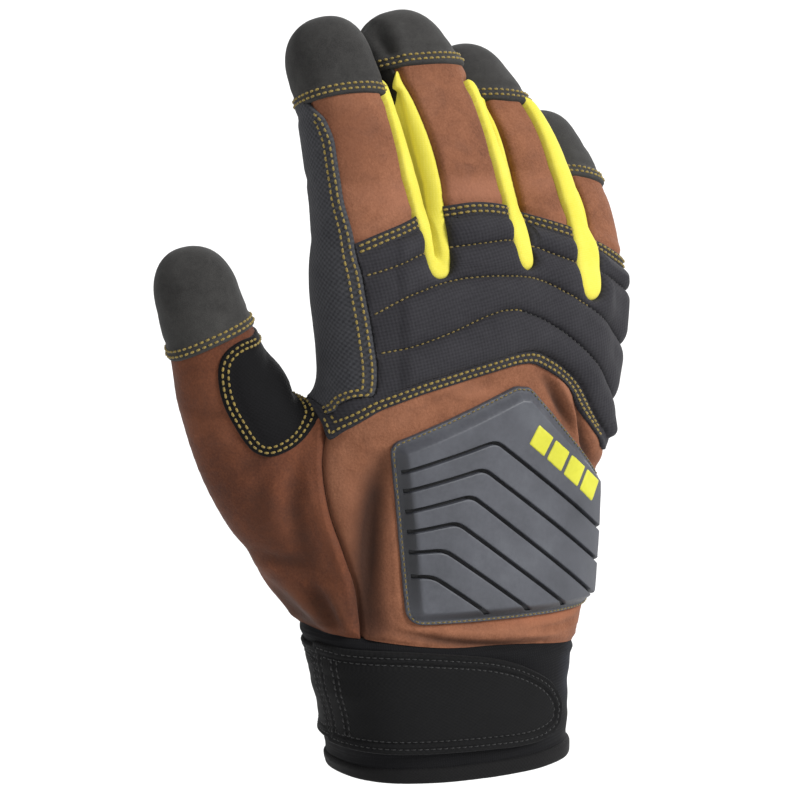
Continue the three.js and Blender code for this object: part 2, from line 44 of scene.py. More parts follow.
# ------------------------------------------------------------------ limb tables
# columns: x, y, z of the centre | a half width | bd half depth to the back | bp half depth to the palm
LIMBS = {
    "hand": dict(ref=((0, -1, 0), (0, -1, 0)), n=2.35, tip=14.0, rows=[
        (1.2, 0, -30, 37.8, 26.2, 26.2), (1.2, 0, 0, 38.2, 26.4, 26.4), (0.6, 0, 11, 39.6, 26.8, 27), (0.1, 0, 22, 40, 26, 26.5),
        (-0.6, 0, 40, 44.2, 24.5, 26), (1.5, 0.5, 60, 46.5, 23.5, 25.5), (3, 0.5, 80, 47.8, 22.5, 24.5),
        (3.8, 0, 100, 47, 21, 23), (5.4, -1, 120, 45.8, 20, 20.5), (7.1, -1, 140, 45.6, 18, 17.5), (8, 1, 152, 45.6, 14.5, 14.5)]),
    "index": dict(ref=((-0.15, -1, 0), (-0.15, -1, 0.15)), n=2.3, tip=14.2, rows=[
        (-22.5, 2, 120, 14.5, 15, 14), (-25, 2, 150, 17, 15, 14.5), (-25.5, 3.5, 168, 15.7, 14, 14),
        (-27.8, 7, 188, 13.9, 13.2, 13.2), (-29.3, 11, 202, 12.6, 12.4, 12.4), (-30.9, 15.5, 213.5, 12, 11.4, 11.4)]),
    "middle": dict(ref=((0.05, -1, 0), (0, -1, 0.25)), n=2.3, tip=15.0, rows=[
        (8.5, -3, 128, 15, 15, 15), (8, -2, 150, 15.5, 14.2, 14), (6, 1, 170, 15, 13.5, 13.5), (2.5, 7, 190, 14, 13, 13),
        (-0.5, 14, 205, 14.2, 12.4, 12.4), (-3.6, 20, 214, 13.4, 11.8, 11.8)]),
    "ring": dict(ref=((0.25, -1, 0), (0.15, -1, 0.35)), n=2.3, tip=13.8, rows=[
        (35, 1, 124, 13.5, 14.5, 14), (35.3, 2, 146, 13.8, 14, 13.5), (34, 6, 166, 13.5, 13, 13), (30.8, 13, 184, 13, 12.5, 12.5),
        (26.8, 20.5, 196, 12.6, 11.8, 11.8), (24.2, 27, 203.6, 12.2, 11.2, 11.2)]),
    "little": dict(ref=((0.5, -1, 0), (0.35, -1, 0.35)), n=2.3, tip=11.5, rows=[
        (41.5, 3, 98, 8.5, 12.5, 12.5), (46, 5, 115, 10.6, 13.5, 13), (51.4, 8, 134, 11.6, 13, 12.5),
        (55, 12, 152, 12.7, 12.5, 12), (55.4, 18, 166, 12.3, 12, 11.5), (54, 24.5, 175.6, 11.8, 11.2, 10.8),
        (52.4, 30, 183, 11.5, 10.6, 10.2)]),
    "thumb": dict(ref=((-0.55, -0.8, 0), (-0.45, -0.9, 0.1)), n=2.2, tip=15.5, rows=[
        (-18, 6, 44, 17, 17, 17), (-27.5, 9, 60, 20.5, 19, 18), (-43.1, 13, 80, 20.9, 18, 17), (-56.2, 17, 99, 18.4, 16, 15.5),
        (-64.5, 20, 117, 15, 14.2, 14), (-68.6, 22, 133, 13, 12.6, 12.6), (-72.2, 23.5, 145.5, 11.7, 11.4, 11.4)]),
    "web": dict(ref=((0, -1, 0), (0, -1, 0)), n=2.0, tip=10.0, rows=[
        (-22, 6, 66, 14, 15, 15), (-31, 8, 84, 16, 13, 13), (-39, 9, 103, 12, 9.6, 9.6)]),
}
FINGERS = ("index", "middle", "ring", "little")
ORDER = ("hand", "thumb") + FINGERS

# outlines seen from the back, columns: x, z
KNUCKLE_PAD = [(-43.4, 105.0), (-44.2, 110.6), (-46.4, 119), (-46, 140), (-46.5, 160.2), (-38.2, 162.9), (-29.7, 166.4), (-18.6, 169.8), (-5.5, 173.0),
               (3, 174.0), (13, 172.6), (24, 168.9), (37.7, 164.2), (48.2, 160.0), (59.6, 154.6), (70, 148.6), (78, 142.6),
               (78, 92), (50.6, 93.6), (44.9, 98.9), (37.9, 108.0), (31.8, 116.2), (22.5, 123), (14.5, 125.4), (-1.6, 122.6),
               (-16.8, 119.2), (-22.4, 117.6), (-30.3, 114.8), (-34.2, 112.4), (-39.6, 108.2)]
PAD_TOP = [(-60, 155), (-38.2, 162.6), (-29.7, 166.4), (-18.6, 169.8), (-5.5, 173.0), (3, 174.0), (13, 172.6), (24, 168.9),
           (37.7, 164.2), (48.2, 160.0), (59.6, 154.6), (80, 143.6)]
PAD_SEAMS = [
    [(-38, 153.4), (-26, 156.6), (-17.2, 159.5), (-5.5, 160.9), (4, 161.8), (13.1, 161.8), (23.4, 158.6), (36.1, 153.8), (51.7, 147.6), (66, 140), (80, 131)],
    [(-38, 140.6), (-34.1, 142.3), (-24.6, 147.1), (-14.4, 149.9), (0, 151.8), (12, 151.3), (20.1, 149.7), (28.4, 146.5), (41.7, 139), (52.4, 131.3), (64, 121), (78, 108)],
    [(-34, 131), (-28.7, 132), (-22.4, 133.1), (-10.8, 136.4), (3.4, 141.2), (9, 141.8), (14.5, 140.9), (26.3, 135.4), (37.7, 127.2), (46.3, 119), (54, 109), (62, 97)],
]
GUARD = [(-29.1, 104.2), (11.6, 118.9), (16.8, 118.1), (47.2, 86.8), (45.2, 46.6), (-26.0, 49.4)]
CHEVRONS = [
    [(-31, 94.8), (2.8, 103.4), (56, 60.1)],
    [(-31, 89.2), (-1.5, 95.2), (56, 49.8)],
    [(-31, 83.1), (-5.8, 87.4), (50, 42.7)],
    [(-31, 77.3), (-10.7, 79.8), (38, 41.6)],
    [(-31, 71.9), (-14.9, 71.9), (24, 42.4)],
    [(-31, 65.0), (-18.7, 64.2), (10, 42.5)],
]
MARK_BARS = [(14.1, 101.5), (20.35, 96.0), (26.6, 90.5), (32.85, 85.0)]
MARK_ALONG, MARK_ACROSS = (5.3, -4.65), (3.5, 5.7)
GUSSETS = [
    [(-20.8, 208), (-20.2, 203), (-19.7, 196), (-19.0, 189.5), (-18.2, 182), (-17.2, 177), (-16.2, 172), (-15.6, 167.6), (-15.6, 164),
     (-15.6, 160), (-15.4, 156.7), (-14.9, 154.2), (-13.5, 152.5), (-11.4, 151.9), (-8.9, 152.4), (-7.3, 154.2), (-6.6, 157.3), (-6.4, 161.4),
     (-6.0, 166.2), (-5.8, 170.2), (-6.0, 175), (-6.1, 179.4), (-6.7, 185.6), (-7.7, 192.5), (-8.8, 198.1), (-10.2, 204.2), (-11.7, 209), (-13.2, 213.5)],
    [(9.6, 209), (10.7, 204.7), (11.5, 199.2), (12.4, 193.7), (12.9, 188.2), (13.2, 182.7), (13.8, 177), (14.5, 173.4), (14.5, 169.3),
     (14.4, 165.2), (14.5, 161.1), (14.7, 157.4), (15.6, 154.8), (16.7, 153.3), (18.6, 152.5), (21.0, 153.2), (21.9, 155.2), (21.9, 158),
     (21.9, 161), (22.3, 165), (23.2, 168.6), (23.6, 171.6), (23.2, 175.4), (22.6, 182.7), (22.2, 189), (21.5, 194.6), (20.4, 199.4), (19.3, 204.2)],
    [(34.2, 202), (34.9, 198), (35.6, 194), (36.3, 189.1), (36.9, 182.9), (37.6, 177.5), (38.2, 172), (39.0, 168.5), (39.2, 164.3),
     (38.8, 159.5), (38.2, 155), (38.1, 150), (38.3, 145.8), (39.4, 143.2), (41.9, 141.7), (45.3, 141.9), (47.7, 143.8), (48.7, 147),
     (49.1, 151.2), (50.4, 155.4), (51.8, 159.8), (52.4, 164.1), (52.4, 168.7), (51.8, 173), (49.8, 180), (47.4, 188), (45.6, 196)],
]
GUSSET_PALM = (14.0, 14.0, 16.0)
CREASE = [(-13.2, 206), (-12.2, 197), (-11.1, 188), (-9.9, 179.5), (-9.5, 172.5), (-10.2, 167), (-11.0, 162.4), (-11.2, 157.5)]
SIDE_EDGE = [(9.6, 204.4), (6.8, 203.2), (4.3, 201.7), (1.9, 199.6), (-0.9, 194.7), (-2.3, 190), (-3.8, 183.1), (-5.2, 176.2), (-6.8, 170.4), (-9.0, 163),
             (-11.1, 155.8), (-12.4, 149.4), (-13.7, 141.3), (-14.5, 134), (-15.1, 127.5), (-15.2, 121.7), (-14.7, 118.6)]
SIDE_EDGE = [(y + 0.6, z) for y, z in SIDE_EDGE]
SIDE_PANEL = SIDE_EDGE + [(-11.7, 118.2), (-9.6, 117.3), (-6.8, 115.4), (-6.0, 113.8), (-2.0, 111.6), (1.6, 110.0), (9, 113), (9.5, 135), (9, 160), (13, 182), (20, 203.4)]
THUMB_SEAM = [(-37.8, 36), (-38.8, 47), (-39.7, 59), (-41.0, 65.7), (-43.0, 74), (-45.1, 82.2), (-46.0, 91), (-45.8, 98.3), (-44.5, 105.5), (-43.5, 110.3), (-43.4, 114)]
THUMB_AREA = THUMB_SEAM + [(-45.5, 118), (-49, 122), (-49.6, 180), (-130, 180), (-130, 30), (-37.4, 30)]
WEB_PATCH = [(-54, 137), (-60, 135.4), (-66, 134.4), (-70.6, 131.6), (-72.8, 127), (-72.8, 120.5), (-71.4, 114.5), (-69.0, 109.2), (-66.4, 104.4),
             (-63.7, 101.4), (-60, 100.3), (-54.6, 101.8), (-50.1, 104.4), (-46.4, 107.8), (-43.9, 111), (-43.2, 116), (-44, 122), (-46, 137)]
STRAP = [(-60, 42.6), (-42.4, 42.2), (-26.3, 41.4), (-3.8, 38.0), (9.0, 34.4), (18.2, 29.8), (23.8, 25.4), (26.9, 20.0), (27.0, 15.4),
         (24.4, 11.4), (15.0, 9.0), (-2, 9.3), (-16.4, 9.8), (-41.7, 10.2), (-60, 10.2)]
# seams of the fingertip caps: a point, and the way the seam's plane faces
CAPS = {"index": ((-33.7, 0.3, 206.2), (0, 0.32, 0.947)), "middle": ((-1, 5, 213.4), (0.02, 0.2, 0.98)), "ring": ((26.6, 9.7, 200.7), (0.12, 0.2, 0.972)),
        "little": ((57, 10.3, 175.4), (0.18, 0.3, 0.937)), "thumb": ((-71, 16, 132.4), (-0.385, 0.115, 0.93))}
FINGER_SEAM = {"index": 0.40, "middle": 0.40, "ring": 0.36, "little": -0.05, "thumb": -0.12}
HAND_SEAM_Y = 7.4                     # side seam of the hand, y


# --------------------------------------------------------------- limb distances
def catmull(rows, per):
    R = np.array(rows, float)
    P = np.vstack([2 * R[0] - R[1], R, 2 * R[-1] - R[-2]])
    out = []
    for i in range(1, len(P) - 2):
        a, b, c, d = P[i - 1:i + 3]
        for k in range(per):
            t = k / per
            out.append(0.5 * (2 * b + (c - a) * t + (2 * a - 5 * b + 4 * c - d) * t * t + (3 * b - a - 3 * c + d) * t ** 3))
    out.append(P[-2])
    return np.array(out)


def limb_frame(L, per=6):
    S = catmull(L["rows"], per)
    C = S[:, :3]
    T = np.gradient(C, axis=0)
    T /= np.linalg.norm(T, axis=1, keepdims=True)
    t = np.linspace(0, 1, len(S))[:, None]
    ref = (1 - t) * np.array(L["ref"][0], float) + t * np.array(L["ref"][1], float)
    D = ref - (ref * T).sum(1, keepdims=True) * T
    D /= np.linalg.norm(D, axis=1, keepdims=True)
    run = np.concatenate([[0], np.cumsum(np.linalg.norm(np.diff(C, axis=0), axis=1))])
    return dict(C=C, T=T, D=D, E=np.cross(T, D), a=S[:, 3], bd=S[:, 4], bp=S[:, 5], t=t[:, 0], run=run)


FR = {k: limb_frame(L) for k, L in LIMBS.items()}


def local(name, P):
    """Each point against the nearest section of a limb: s to the side, d to the back, w past an end."""
    F = FR[name]
    C = F["C"]
    best = np.full(len(P), 1e18)
    bi = np.zeros(len(P), int)
    bt = np.zeros(len(P))
    for i in range(len(C) - 1):
        A, AB = C[i], C[i + 1] - C[i]
        q = P - A
        u = np.clip(q @ AB / (AB @ AB), 0, 1)
        q = q - u[:, None] * AB
        r = (q * q).sum(1)
        m = r < best
        best[m], bi[m], bt[m] = r[m], i, u[m]

    def mix(X):
        return X[bi] * (1 - bt) + X[bi + 1] * bt if X.ndim == 1 else X[bi] * (1 - bt)[:, None] + X[bi + 1] * bt[:, None]
    v = P - mix(C)
    return dict(t=mix(F["t"]), s=(v * mix(F["E"])).sum(1), d=(v * mix(F["D"])).sum(1), w=(v * mix(F["T"])).sum(1),
                a=mix(F["a"]), bd=mix(F["bd"]), bp=mix(F["bp"]), run=mix(F["run"]))


def limb_distance(name, P):
    L = LIMBS[name]
    q = local(name, P)
    n, a, b = L["n"], q["a"], np.where(q["d"] > 0, q["bd"], q["bp"])
    w = np.where((q["t"] > 0.9999) | (q["t"] < 1e-4), np.abs(q["w"]), 0.0)
    S, D, W = np.abs(q["s"]) / a, np.abs(q["d"]) / b, w / L["tip"]
    N = (S ** n + D ** n + W ** n) ** (1 / n) + 1e-9
    g = np.sqrt((S ** (n - 1) / a) ** 2 + (D ** (n - 1) / b) ** 2 + (W ** (n - 1) / L["tip"]) ** 2) * N ** (1 - n)
    return (N - 1) / np.maximum(g, 1e-6)


def smin(a, b, k):
    h = np.clip(0.5 + 0.5 * (b - a) / k, 0, 1)
    return b * (1 - h) + a * h - k * h * (1 - h)


def body(P, parts=False):
    """Distance to the glove's skin: hand, thumb and web run together, the fingers part in narrow creases."""
    out = {}
    for k in LIMBS:
        C = FR[k]["C"]
        pad = np.array([70, 45, 45]) if k == "hand" else np.array([30, 30, 30])
        m = ((P >= C.min(0) - pad) & (P <= C.max(0) + pad)).all(1)
        d = np.full(len(P), 40.0)
        d[m] = limb_distance(k, P[m])
        out[k] = d
    f = smin(smin(out["index"], out["middle"], 1.6), smin(out["ring"], out["little"], 2.2), 1.6)
    base = smin(out["hand"], smin(out["thumb"], out["web"], 9.0), 9.0)
    d = smin(base, f, 7.0)
    return (d, np.stack([out[k] for k in ORDER], 1)) if parts else d


def gradient(P, h=0.35):
    k = np.array([(1, -1, -1), (-1, -1, 1), (-1, 1, -1), (1, 1, 1)], float)
    g = sum(s * body(P + h * s)[:, None] for s in k)
    return g / np.maximum(np.linalg.norm(g, axis=1, keepdims=True), 1e-9)


# ----------------------------------------------------------------- skin surface
def surface_nets(f, lo, h):
    s = f < 0
    nx, ny, nz = f.shape
    c = [s[i:nx - 1 + i, j:ny - 1 + j, k:nz - 1 + k] for i in (0, 1) for j in (0, 1) for k in (0, 1)]
    tot = sum(x.astype(np.int8) for x in c)
    act = (tot > 0) & (tot < 8)
    idx = np.full(act.shape, -1, np.int64)
    I = np.argwhere(act)
    idx[act] = np.arange(len(I))
    corners = [(i, j, k) for i in (0, 1) for j in (0, 1) for k in (0, 1)]
    vals = np.stack([f[I[:, 0] + i, I[:, 1] + j, I[:, 2] + k] for i, j, k in corners], 1)
    acc, cnt = np.zeros((len(I), 3)), np.zeros(len(I))
    for a in range(8):
        for b in range(a + 1, 8):
            ca, cb = np.array(corners[a]), np.array(corners[b])
            if np.abs(ca - cb).sum() != 1:
                continue
            va, vb = vals[:, a], vals[:, b]
            m = (va < 0) != (vb < 0)
            t = va[m] / (va[m] - vb[m])
            acc[m] += ca + t[:, None] * (cb - ca)
            cnt[m] += 1
    V = lo + h * (I + acc / cnt[:, None])
    Q = []
    for ax in range(3):
        s0, s1 = [slice(None)] * 3, [slice(None)] * 3
        s0[ax], s1[ax] = slice(0, -1), slice(1, None)
        a_, b_ = s[tuple(s0)], s[tuple(s1)]
        cr = np.argwhere(a_ != b_)
        o1, o2 = (ax + 1) % 3, (ax + 2) % 3
        cr = cr[(cr[:, o1] > 0) & (cr[:, o2] > 0) & (cr[:, o1] < f.shape[o1] - 1) & (cr[:, o2] < f.shape[o2] - 1)]

        def at(d1, d2):
            x = cr.copy()
            x[:, o1] -= d1
            x[:, o2] -= d2
            return idx[x[:, 0], x[:, 1], x[:, 2]]
        q = np.stack([at(1, 1), at(0, 1), at(0, 0), at(1, 0)], 1)
        flip = ~a_[cr[:, 0], cr[:, 1], cr[:, 2]]
        q[flip] = q[flip][:, ::-1]
        Q.append(q)
    Q = np.vstack(Q)
    return V, Q[(Q >= 0).all(1)]


def build_skin(h):
    lo, hi = np.array([-95.0, -45.0, -14.0]), np.array([80.0, 60.0, 240.0])
    k = 4
    nc = np.ceil((hi - lo) / (h * k)).astype(int)
    n = nc * k + 1
    gc = np.stack(np.meshgrid(*[lo[i] + h * k * np.arange(nc[i] + 1) for i in range(3)], indexing="ij"), -1)
    dc = body(gc.reshape(-1, 3)).reshape(nc + 1)
    near = np.abs(dc) < h * k * 1.9
    cell = np.zeros(nc, bool)
    for i in (0, 1):
        for j in (0, 1):
            for l in (0, 1):
                cell |= near[i:nc[0] + i, j:nc[1] + j, l:nc[2] + l]
    f = np.repeat(np.repeat(np.repeat(dc[:-1, :-1, :-1], k, 0), k, 1), k, 2)
    f = np.pad(f, ((0, 1),) * 3, mode="edge")
    f = np.where(f > 0, 9.0, -9.0)
    fine = np.repeat(np.repeat(np.repeat(cell, k, 0), k, 1), k, 2)
    mark = np.zeros(n, bool)
    for i in (0, 1):
        for j in (0, 1):
            for l in (0, 1):
                mark[i:n[0] - 1 + i, j:n[1] - 1 + j, l:n[2] - 1 + l] |= fine
    I = np.argwhere(mark)
    f[mark] = body(lo + h * I)
    V, Q = surface_nets(f, lo, h)
    e = np.vstack([Q[:, [0, 1]], Q[:, [1, 2]], Q[:, [2, 3]], Q[:, [3, 0]]])
    e = np.unique(np.sort(e, 1), axis=0)
    deg = np.bincount(e.ravel(), minlength=len(V))[:, None]
    for r in range(3):
        S = np.zeros_like(V)
        np.add.at(S, e[:, 0], V[e[:, 1]])
        np.add.at(S, e[:, 1], V[e[:, 0]])
        V = 0.45 * V + 0.55 * S / np.maximum(deg, 1)
        g = gradient(V)
        V = V - g * np.clip(body(V), -1.5, 1.5)[:, None]
    d, parts = body(V, True)
    N = gradient(V, 0.6)
    # each quad in two, along its shorter diagonal
    d1 = np.linalg.norm(V[Q[:, 0]] - V[Q[:, 2]], axis=1)
    d2 = np.linalg.norm(V[Q[:, 1]] - V[Q[:, 3]], axis=1)
    a = d1 < d2
    F = np.vstack([Q[a][:, [0, 1, 2]], Q[a][:, [0, 2, 3]], Q[~a][:, [0, 1, 3]], Q[~a][:, [1, 2, 3]]])
    return Skin(V, N, parts, F)


class Skin:
    """Triangles of the glove's skin: places V, outward directions N, limb distances L, faces F."""
    def __init__(self, V, N, L, F):
        self.V, self.N, self.L, self.F = V, N, L, F

    def only(self, faces):
        F = self.F[faces]
        used = np.unique(F)
        to = np.full(len(self.V), -1)
        to[used] = np.arange(len(used))
        return Skin(self.V[used], self.N[used], self.L[used], to[F]), used


def split(m, f, level, snap=0.05):
    """Cuts the triangles that cross f = level, so that the level is a line of edges."""
    g = f - level
    near = np.abs(g) < snap
    g = np.where(near, 0.0, g)
    f = np.where(near, level, f)
    gf = g[m.F]
    cross = (gf.min(1) < 0) & (gf.max(1) > 0)
    if not cross.any():
        return m, f
    C, K = m.F[cross], m.F[~cross]
    n = len(C)
    e = np.vstack([C[:, [0, 1]], C[:, [1, 2]], C[:, [2, 0]]])
    ec = g[e[:, 0]] * g[e[:, 1]] < 0
    es = np.sort(e[ec], 1)
    key = es[:, 0].astype(np.int64) * len(m.V) + es[:, 1]
    uk, inv = np.unique(key, return_inverse=True)
    a, b = uk // len(m.V), uk % len(m.V)
    t = (g[a] / (g[a] - g[b]))[:, None]
    V = np.vstack([m.V, m.V[a] * (1 - t) + m.V[b] * t])
    N = m.N[a] * (1 - t) + m.N[b] * t
    N = np.vstack([m.N, N / np.linalg.norm(N, axis=1, keepdims=True)])
    L = np.vstack([m.L, m.L[a] * (1 - t) + m.L[b] * t])
    f = np.concatenate([f, np.full(len(uk), level)])
    mid = np.full(3 * n, -1)
    mid[ec] = len(m.V) + inv
    mid = mid.reshape(3, n).T                      # new points on edges 01, 12, 20
    cnt = (mid >= 0).sum(1)
    out = [K]
    two = cnt == 2
    for r in range(3):                             # vertex r stands alone
        i0, i1, i2 = r, (r + 1) % 3, (r + 2) % 3
        s = two & (mid[:, i0] >= 0) & (mid[:, i2] >= 0)
        v0, v1, v2, p, q = C[s, i0], C[s, i1], C[s, i2], mid[s, i0], mid[s, i2]
        out += [np.stack([v0, p, q], 1), np.stack([p, v1, v2], 1), np.stack([p, v2, q], 1)]
        s = (cnt == 1) & (mid[:, i1] >= 0)         # vertex r lies on the level
        v0, v1, v2, p = C[s, i0], C[s, i1], C[s, i2], mid[s, i1]
        out += [np.stack([v0, v1, p], 1), np.stack([v0, p, v2], 1)]
    return Skin(V, N, L, np.vstack(out)), f


def cut(m, fields):
    """fields: [(function of a skin, levels)]. Keeps what is below each field's highest level, with edges along every level."""
    for fn, levels in fields:
        top = max(levels)
        f = fn(m)
        m, used = m.only(f[m.F].min(1) < top)
        f = f[used]
        for lv in sorted(levels):
            m, f = split(m, f, lv)
        m, used = m.only((f[m.F] <= top + 1e-9).all(1))
    return m


def refine(m, times=1):
    """Each triangle in four, with the new points put back on the skin."""
    for r in range(times):
        e = np.vstack([m.F[:, [0, 1]], m.F[:, [1, 2]], m.F[:, [2, 0]]])
        es = np.sort(e, 1)
        key = es[:, 0].astype(np.int64) * len(m.V) + es[:, 1]
        uk, inv = np.unique(key, return_inverse=True)
        a, b = uk // len(m.V), uk % len(m.V)
        V = 0.5 * (m.V[a] + m.V[b])
        N = m.N[a] + m.N[b]
        N /= np.linalg.norm(N, axis=1, keepdims=True)
        V = V - N * np.clip(body(V), -0.4, 0.4)[:, None]
        k = len(m.F)
        i = len(m.V) + inv
        p, q, s = i[:k], i[k:2 * k], i[2 * k:]
        A, B, C = m.F.T
        F = np.vstack([np.stack(t, 1) for t in ((A, p, s), (p, B, q), (s, q, C), (p, q, s))])
        m = Skin(np.vstack([m.V, V]), np.vstack([m.N, N]), np.vstack([m.L, 0.5 * (m.L[a] + m.L[b])]), F)
    return m


def near(m, fn, reach, times=1):
    """The part of the skin below reach in a field, refined."""
    f = fn(m)
    m, _ = m.only(f[m.F].min(1) < reach)
    return refine(m, times)


def lines_in(m, *fns):
    """Puts edges along the zero line of each signed field."""
    for fn in fns:
        m, _ = split(m, fn(m), 0.0)
    return m


# -------------------------------------------------------------------- fields
def seg_dist(Q, line, closed=False):
    """Distance of 2-D points to a polyline."""
    L = np.array(line, float)
    if closed:
        L = np.vstack([L, L[:1]])
    best = np.full(len(Q), 1e9)
    for A, B in zip(L[:-1], L[1:]):
        AB = B - A
        u = np.clip(((Q - A) @ AB) / (AB @ AB), 0, 1)
        d = np.hypot(*(Q - A - u[:, None] * AB).T)
        best = np.minimum(best, d)
    return best


def signed_line(line):
    """Distance to a line that runs from left to right, positive above it."""
    L = np.array(line, float)
    return lambda m: seg_dist(m.V[:, [0, 2]], L) * np.where(m.V[:, 2] > np.interp(m.V[:, 0], L[:, 0], L[:, 1]), 1, -1)


def smooth_line(line, per=5, closed=False):
    R = np.array(line, float)
    P = np.vstack([R[-1:], R, R[:2]]) if closed else np.vstack([2 * R[0] - R[1], R, 2 * R[-1] - R[-2]])
    out = []
    for i in range(1, len(P) - 2):
        a, b, c, d = P[i - 1:i + 3]
        for k in range(per):
            t = k / per
            out.append(0.5 * (2 * b + (c - a) * t + (2 * a - 5 * b + 4 * c - d) * t * t + (3 * b - a - 3 * c + d) * t ** 3))
    if not closed:
        out.append(P[-2])
    return np.array(out)


def poly_dist(Q, poly):
    """Signed distance to a closed outline, negative inside."""
    d = seg_dist(Q, poly, True)
    P = np.array(poly, float)
    inside = np.zeros(len(Q), bool)
    for A, B in zip(P, np.roll(P, -1, 0)):
        c = (A[1] > Q[:, 1]) != (B[1] > Q[:, 1])
        with np.errstate(divide="ignore", invalid="ignore"):
            x = A[0] + (Q[:, 1] - A[1]) * (B[0] - A[0]) / (B[1] - A[1])
        inside ^= c & (Q[:, 0] < x)
    return np.where(inside, -d, d)


def rounded(points, radii, steps=6):
    out = []
    n = len(points)
    for i, p in enumerate(points):
        a, b, c = (np.array(points[(i + k) % n], float) for k in (-1, 0, 1))
        r = radii[i] if isinstance(radii, (list, tuple)) else radii
        u, v = (a - b) / np.linalg.norm(a - b), (c - b) / np.linalg.norm(c - b)
        half = math.acos(np.clip(u @ v, -1, 1)) / 2
        t = r / math.tan(half)
        for k in range(steps + 1):
            w = k / steps
            out.append((1 - w) ** 2 * (b + u * t) + 2 * w * (1 - w) * b + w * w * (b + v * t))
    return np.array(out)


def xz(m):
    return m.V[:, [0, 2]]


def xz_field(outline):
    return lambda m: poly_dist(xz(m), outline)


def outside(fn, gap=0.0):
    return lambda m: gap - fn(m)


def most(*fns):
    return lambda m: np.max([fn(m) for fn in fns], axis=0)


def least(*fns):
    return lambda m: np.min([fn(m) for fn in fns], axis=0)


def smoothstep(x):
    x = np.clip(x, 0, 1)
    return x * x * (3 - 2 * x)


def f_cuff(m):
    return m.V[:, 2] - (40.4 - 0.115 * m.V[:, 0] + 0.5 * np.sin(m.V[:, 0] * 0.11))


def f_thumb(m):
    return poly_dist(xz(m), THUMB_AREA)


def finger_part(name):
    """Negative on one finger, against its neighbours."""
    i = ORDER.index(name)
    others = [ORDER.index(k) for k in FINGERS if k != name]
    return lambda m: m.L[:, i] - m.L[:, others].min(1)


def cap_axis(name):
    F, p = FR[name], np.array(CAPS[name][0], float)
    if CAPS[name][1] is None:
        i = np.abs((F["C"] - p) @ F["T"][-6]).argmin()
        return p, F["T"][i], F["D"][i], F["E"][i]
    T = np.array(CAPS[name][1], float)
    T /= np.linalg.norm(T)
    D = np.array([0.0, -1.0, 0.0]) + T * T[1]
    D /= np.linalg.norm(D)
    return p, T, D, np.cross(T, D)


def f_cap(name, shift=0.0, curve=0.004):
    """Negative past the cap's seam, toward the fingertip."""
    p, T, D, E = cap_axis(name)

    def fn(m):
        q = m.V - p
        return shift - (q @ T) - curve * ((q @ E) ** 2) + 0.9
    return fn


def f_back(m):
    """Negative on the back of the hand and fingers, distance to the side seam."""
    z = m.V[:, 2]
    hand = m.V[:, 1] - HAND_SEAM_Y
    out = hand.copy()
    i = m.L[:, [ORDER.index(k) for k in FINGERS]].argmin(1)
    for k, name in enumerate(FINGERS):
        s = (i == k) & (z > 128)
        if not s.any():
            continue
        q = local(name, m.V[s])
        f = FINGER_SEAM[name] * q["bd"] - q["d"]
        if name == "middle":
            # the front reaches round to the strip just under the cap
            f = f + 7.0 * smoothstep((z[s] - 198.0) / 5.0) * smoothstep((-12.0 - m.V[s, 0]) / 1.4)
        w = smoothstep((z[s] - 130) / 34.0)
        out[s] = hand[s] * (1 - w) + f * w
    return out


def f_thumb_back(m):
    q = local("thumb", m.V)
    return FINGER_SEAM["thumb"] * q["bd"] - q["d"]


PAD_OUT = smooth_line(KNUCKLE_PAD, 4, True)
GUARD_OUT = rounded(GUARD, [4, 4, 4, 5, 6, 6])
GUSSET_OUT = [smooth_line(g, 4, True) for g in GUSSETS]
SIDE_OUT = smooth_line(SIDE_PANEL, 3, True)
WEB_OUT = smooth_line(WEB_PATCH, 4, True)
STRAP_OUT = smooth_line(STRAP, 3, True)
THUMB_LINE = smooth_line(THUMB_SEAM, 4)
THUMB_AREA = [tuple(p) for p in THUMB_LINE] + THUMB_AREA[len(THUMB_SEAM):]
SEAM_LINES = [smooth_line(s, 4) for s in PAD_SEAMS]

f_pad = most(xz_field(PAD_OUT), lambda m: m.V[:, 1] - HAND_SEAM_Y + 0.2)
f_guard = most(xz_field(GUARD_OUT), lambda m: m.V[:, 1] - 4.0)
f_gussets = [most(xz_field(GUSSET_OUT[i]), (lambda lim: lambda m: m.V[:, 1] - lim)(GUSSET_PALM[i])) for i in range(3)]
# near the caps the first strip stays on the fingers' backs
f_gussets[0] = most(f_gussets[0], lambda m: m.V[:, 1] - 14.0 + 5.4 * smoothstep((m.V[:, 2] - 192.0) / 12.0))
f_any_gusset = least(*f_gussets)
f_side = most(lambda m: poly_dist(m.V[:, [1, 2]], SIDE_OUT), lambda m: m.V[:, 0] + 29.0, lambda m: 0.8 - f_thumb(m))
f_web = most(xz_field(WEB_OUT), lambda m: m.V[:, 1] - 21.0, lambda m: m.L[:, 1] - 7.0)
f_strap = least(most(xz_field(STRAP_OUT), lambda m: m.V[:, 1] - 1.0),
                most(xz_field([(-60, 42), (-18, 40.4), (-18, 10.6), (-60, 11.6)]), lambda m: -m.V[:, 1] - 1.0))


def above_pad_top(m):
    """Negative above the pad's upper edge."""
    x, z = m.V[:, 0], m.V[:, 2]
    L = smooth_line(PAD_TOP, 4)
    return np.interp(x, L[:, 0], L[:, 1]) - z


